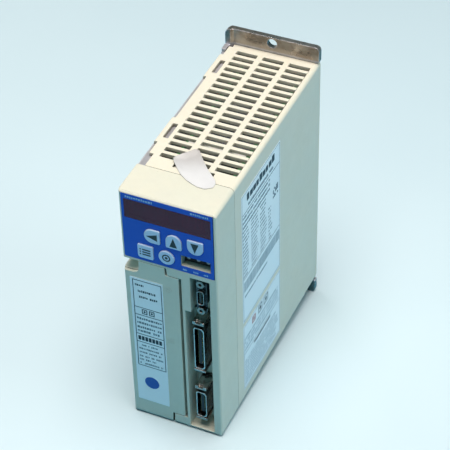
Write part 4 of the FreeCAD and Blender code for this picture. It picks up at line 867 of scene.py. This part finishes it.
bm = bmesh.new()
NU, NV = 30, 60
grid = []
for j in range(NV + 1):
    t = j / NV
    a, b = along(left_edge, t), along(right_edge, t)
    line = []
    for i in range(NU + 1):
        u = i / NU
        x, y = a[0] + (b[0] - a[0]) * u, a[1] + (b[1] - a[1]) * u
        edge = min(u, 1 - u, 1) * 2
        curl = 1.1 * max(0.0, 1 - t / 0.30) ** 1.6 + 0.8 * max(0.0, 1 - u / 0.35) ** 1.5 * max(0.0, 1 - abs(t - 0.2) / 0.3)
        wave = 0.30 * math.sin(4.0 * u + 9 * t) * (1 - t) + 0.35 * noise.noise(Vector((x * 0.22, y * 0.22, 3.1))) * (1 - 0.7 * t)
        lift = 0.16 + max(0.0, 0.22 + wave) * (0.35 + 0.65 * (1 - t)) + curl
        # torn lower edge
        jag = 0.35 * noise.noise(Vector((u * 9, 7.7, 0.3))) * max(0.0, (t - 0.9) / 0.1)
        line.append(bm.verts.new(Vector((x, y + jag, top_z + lift)) * MM))
    grid.append(line)
for j in range(NV):
    for i in range(NU):
        bm.faces.new((grid[j][i], grid[j][i + 1], grid[j + 1][i + 1], grid[j + 1][i]))
bmesh.ops.recalc_face_normals(bm, faces=bm.faces)
me = bpy.data.meshes.new("seal_tape_sheet")
bm.to_mesh(me)
bm.free()
tape = finish_piece(me, "seal_tape_sheet", M["tape"], "root", True)
sol = tape.modifiers.new("thick", "SOLIDIFY")
sol.thickness = 0.00010
sol.offset = 0.0
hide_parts("seal_tape")


# ------------------------------------------------------------------ wound ring core
def tube(path, r, n=8, closed=True):
    b = bmesh.new()
    rings = []
    m = len(path)
    up = Vector((1, 0, 0))
    for i, p in enumerate(path):
        d = (path[(i + 1) % m] - path[i - 1]).normalized() if closed or 0 < i < m - 1 else (path[min(i + 1, m - 1)] - path[max(i - 1, 0)]).normalized()
        side = d.cross(up)
        if side.length < 0.2:
            side = d.cross(Vector((0, 1, 0)))
        side.normalize()
        up = side.cross(d).normalized()
        rings.append([b.verts.new((p + (side * math.cos(2 * math.pi * k / n) + up * math.sin(2 * math.pi * k / n)) * r) * MM) for k in range(n)])
    for i in range(m if closed else m - 1):
        a, c = rings[i], rings[(i + 1) % m]
        for k in range(n):
            b.faces.new((a[k], a[(k + 1) % n], c[(k + 1) % n], c[k]))
    if not closed:
        b.faces.new(rings[0][::-1])
        b.faces.new(rings[-1])
    return b


(cx0, cy0, cz0), (cx1, cy1, cz1) = mm_box("line_choke")
ccy, ccz = (cy0 + cy1) / 2, (cz0 + cz1) / 2
ccx = cx1 - 4.0
bm = bmesh.new()
A, B = 64, 20
rows = []
for i in range(A):
    a = 2 * math.pi * i / A
    ring = []
    for j in range(B):
        q = 2 * math.pi * j / B
        # rounded rectangular section
        e = 3.0
        c, q2 = math.cos(q), math.sin(q)
        k = (abs(c) ** e + abs(q2) ** e) ** (-1 / e)
        rr, xx = 8.2 + 2.9 * k * c, 2.9 * k * q2
        ring.append(bm.verts.new(Vector((ccx + xx, ccy + rr * math.cos(a), ccz + rr * math.sin(a))) * MM))
    rows.append(ring)
for i in range(A):
    for j in range(B):
        bm.faces.new((rows[i][j], rows[i][(j + 1) % B], rows[(i + 1) % A][(j + 1) % B], rows[(i + 1) % A][j]))
bmesh.ops.recalc_face_normals(bm, faces=bm.faces)
me = bpy.data.meshes.new("line_choke_core")
bm.to_mesh(me)
bm.free()
core = finish_piece(me, "line_choke_core", M["ferrite"], "root", True)
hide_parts("line_choke")
for part, a0 in (("a", 18), ("b", 198)):
    path, turns, per = [], 13, 26
    for i in range(turns * per + 1):
        f = i / (turns * per)
        a = math.radians(a0 + 144 * f)
        q = 2 * math.pi * turns * f
        c, q2 = math.cos(q), math.sin(q)
        k = (abs(c) ** 3 + abs(q2) ** 3) ** (-1 / 3)
        rr, xx = 8.2 + 3.4 * k * c, 3.4 * k * q2
        path.append(Vector((ccx + xx, ccy + rr * math.cos(a), ccz + rr * math.sin(a))))
    bm = tube(path, 0.5, 8, closed=False)
    bmesh.ops.recalc_face_normals(bm, faces=bm.faces)
    me = bpy.data.meshes.new("line_choke_wire_" + part)
    bm.to_mesh(me)
    bm.free()
    finish_piece(me, "line_choke_wire_" + part, M["winding"], "root", True)

# ------------------------------------------------------------------ CAD nodes
for node in NODES:
    key, width = NODE_LOOK[node]
    dress(node, M[key], width)

# ------------------------------------------------------------------ stage: pale floor, soft light, camera
FLOOR_BOUNCE = (0.12, 0.42, 0.60)
WORLD = ((0.38, 0.83, 1.0), 0.20)
bm = bmesh.new()
ft_y, ft_z = -128.0, mm_box("front_bezel")[0][2]
slope = (mm_box("heatsink_chassis")[0][2] - ft_z) / 125.0
size, step_ = 2600.0, 40
pts = {}
for i in range(step_ + 1):
    for j in range(step_ + 1):
        x = -size + 2 * size * i / step_
        y = -size + 2 * size * j / step_
        pts[i, j] = bm.verts.new(Vector((x, y, ft_z + slope * (y - ft_y) - 0.02)) * MM)
for i in range(step_):
    for j in range(step_):
        bm.faces.new((pts[i, j], pts[i + 1, j], pts[i + 1, j + 1], pts[i, j + 1]))
me = bpy.data.meshes.new("studio_floor")
bm.to_mesh(me)
bm.free()
floor = bpy.data.objects.new("studio_floor", me)
bpy.context.scene.collection.objects.link(floor)
fm = Mat("floor_pale")
pale = fm.mix(fm.step(fm.noise(3, 3), 0.3, 0.7), (0.66, 0.80, 0.85), (0.68, 0.815, 0.86))
seen = fm.n("ShaderNodeLightPath").outputs["Is Camera Ray"]
# beyond the lamps' reach the floor is kept as pale as the backdrop
reach = fm.n("ShaderNodeVectorMath", operation="LENGTH")
fm.l(fm.co, reach.inputs[0])
far = fm.math("MULTIPLY", seen, fm.step(reach.outputs["Value"], 0.50, 1.25))
fm.set("Base Color", fm.mix(far, fm.mix(seen, FLOOR_BOUNCE, pale), (0.02, 0.025, 0.03)))
fm.set("Emission Color", (0.63, 0.79, 0.84))
fm.set("Emission Strength", far)
fm.set("Roughness", fm.step(fm.noise(15, 3), 0.3, 0.7, 0.62, 0.72))
fm.set("Normal", fm.bump(fm.noise(500, 3), 0.06, 0.0002))
me.materials.append(fm.m)

world = bpy.data.worlds.new("studio")
bpy.context.scene.world = world
world.use_nodes = True
wn = world.node_tree
wn.nodes.clear()
wo = wn.nodes.new("ShaderNodeOutputWorld")
wb = wn.nodes.new("ShaderNodeBackground")
wb.inputs["Color"].default_value = (*WORLD[0], 1.0)
wb.inputs["Strength"].default_value = WORLD[1]
# the backdrop itself reads pale from any angle, while the light it gives stays weak
pale_bg = wn.nodes.new("ShaderNodeBackground")
pale_bg.inputs["Color"].default_value = (0.63, 0.79, 0.84, 1.0)
pale_bg.inputs["Strength"].default_value = 1.0
seen_bg = wn.nodes.new("ShaderNodeLightPath")
mix_bg = wn.nodes.new("ShaderNodeMixShader")
wn.links.new(seen_bg.outputs["Is Camera Ray"], mix_bg.inputs[0])
wn.links.new(wb.outputs[0], mix_bg.inputs[1])
wn.links.new(pale_bg.outputs[0], mix_bg.inputs[2])
wn.links.new(mix_bg.outputs[0], wo.inputs[0])


def area(name, loc, target, size_x, size_y, power, colour):
    d = bpy.data.lights.new(name, "AREA")
    d.shape = "RECTANGLE"
    d.size, d.size_y = size_x, size_y
    d.energy = power
    d.color = colour
    o = bpy.data.objects.new(name, d)
    o.location = loc
    o.rotation_mode = "QUATERNION"
    o.rotation_quaternion = (Vector(target) - Vector(loc)).to_track_quat("-Z", "Y")
    bpy.context.scene.collection.objects.link(o)
    return o


area("key_overhead", (0.06, -0.19, 1.14), (0.0, -0.07, 0.0), 0.75, 0.75, 15.8, (1.0, 0.92, 0.875))
area("fill_right", (1.25, 0.15, 0.45), (0.0, -0.05, 0.0), 0.8, 0.8, 5.3, (0.985, 1.0, 0.985))
area("fill_rear_left", (-1.15, 0.55, 0.22), (0.0, -0.05, 0.0), 0.9, 0.9, 5.0, (1.0, 0.95, 0.90))

cam = bpy.data.cameras.new("camera")
cam.lens = 135.606
cam.sensor_width = 36.0
cam.sensor_fit = "HORIZONTAL"
cam.clip_start, cam.clip_end = 0.05, 20.0
cam_o = bpy.data.objects.new("camera", cam)
right = Vector((0.91465062, 0.4037404, -0.02019731))
up = Vector((-0.25076824, 0.60587062, 0.75500734))
back = Vector((0.31706392, -0.68550308, 0.65540521))
mat = Matrix((right, up, back)).transposed().to_4x4()
mat.translation = Vector((0.26729613569, -0.64196759452, 0.5606913343))
cam_o.matrix_world = mat
bpy.context.scene.collection.objects.link(cam_o)
bpy.context.scene.camera = cam_o
bpy.context.scene.view_settings.view_transform = "Standard"
bpy.context.scene.view_settings.look = "None"
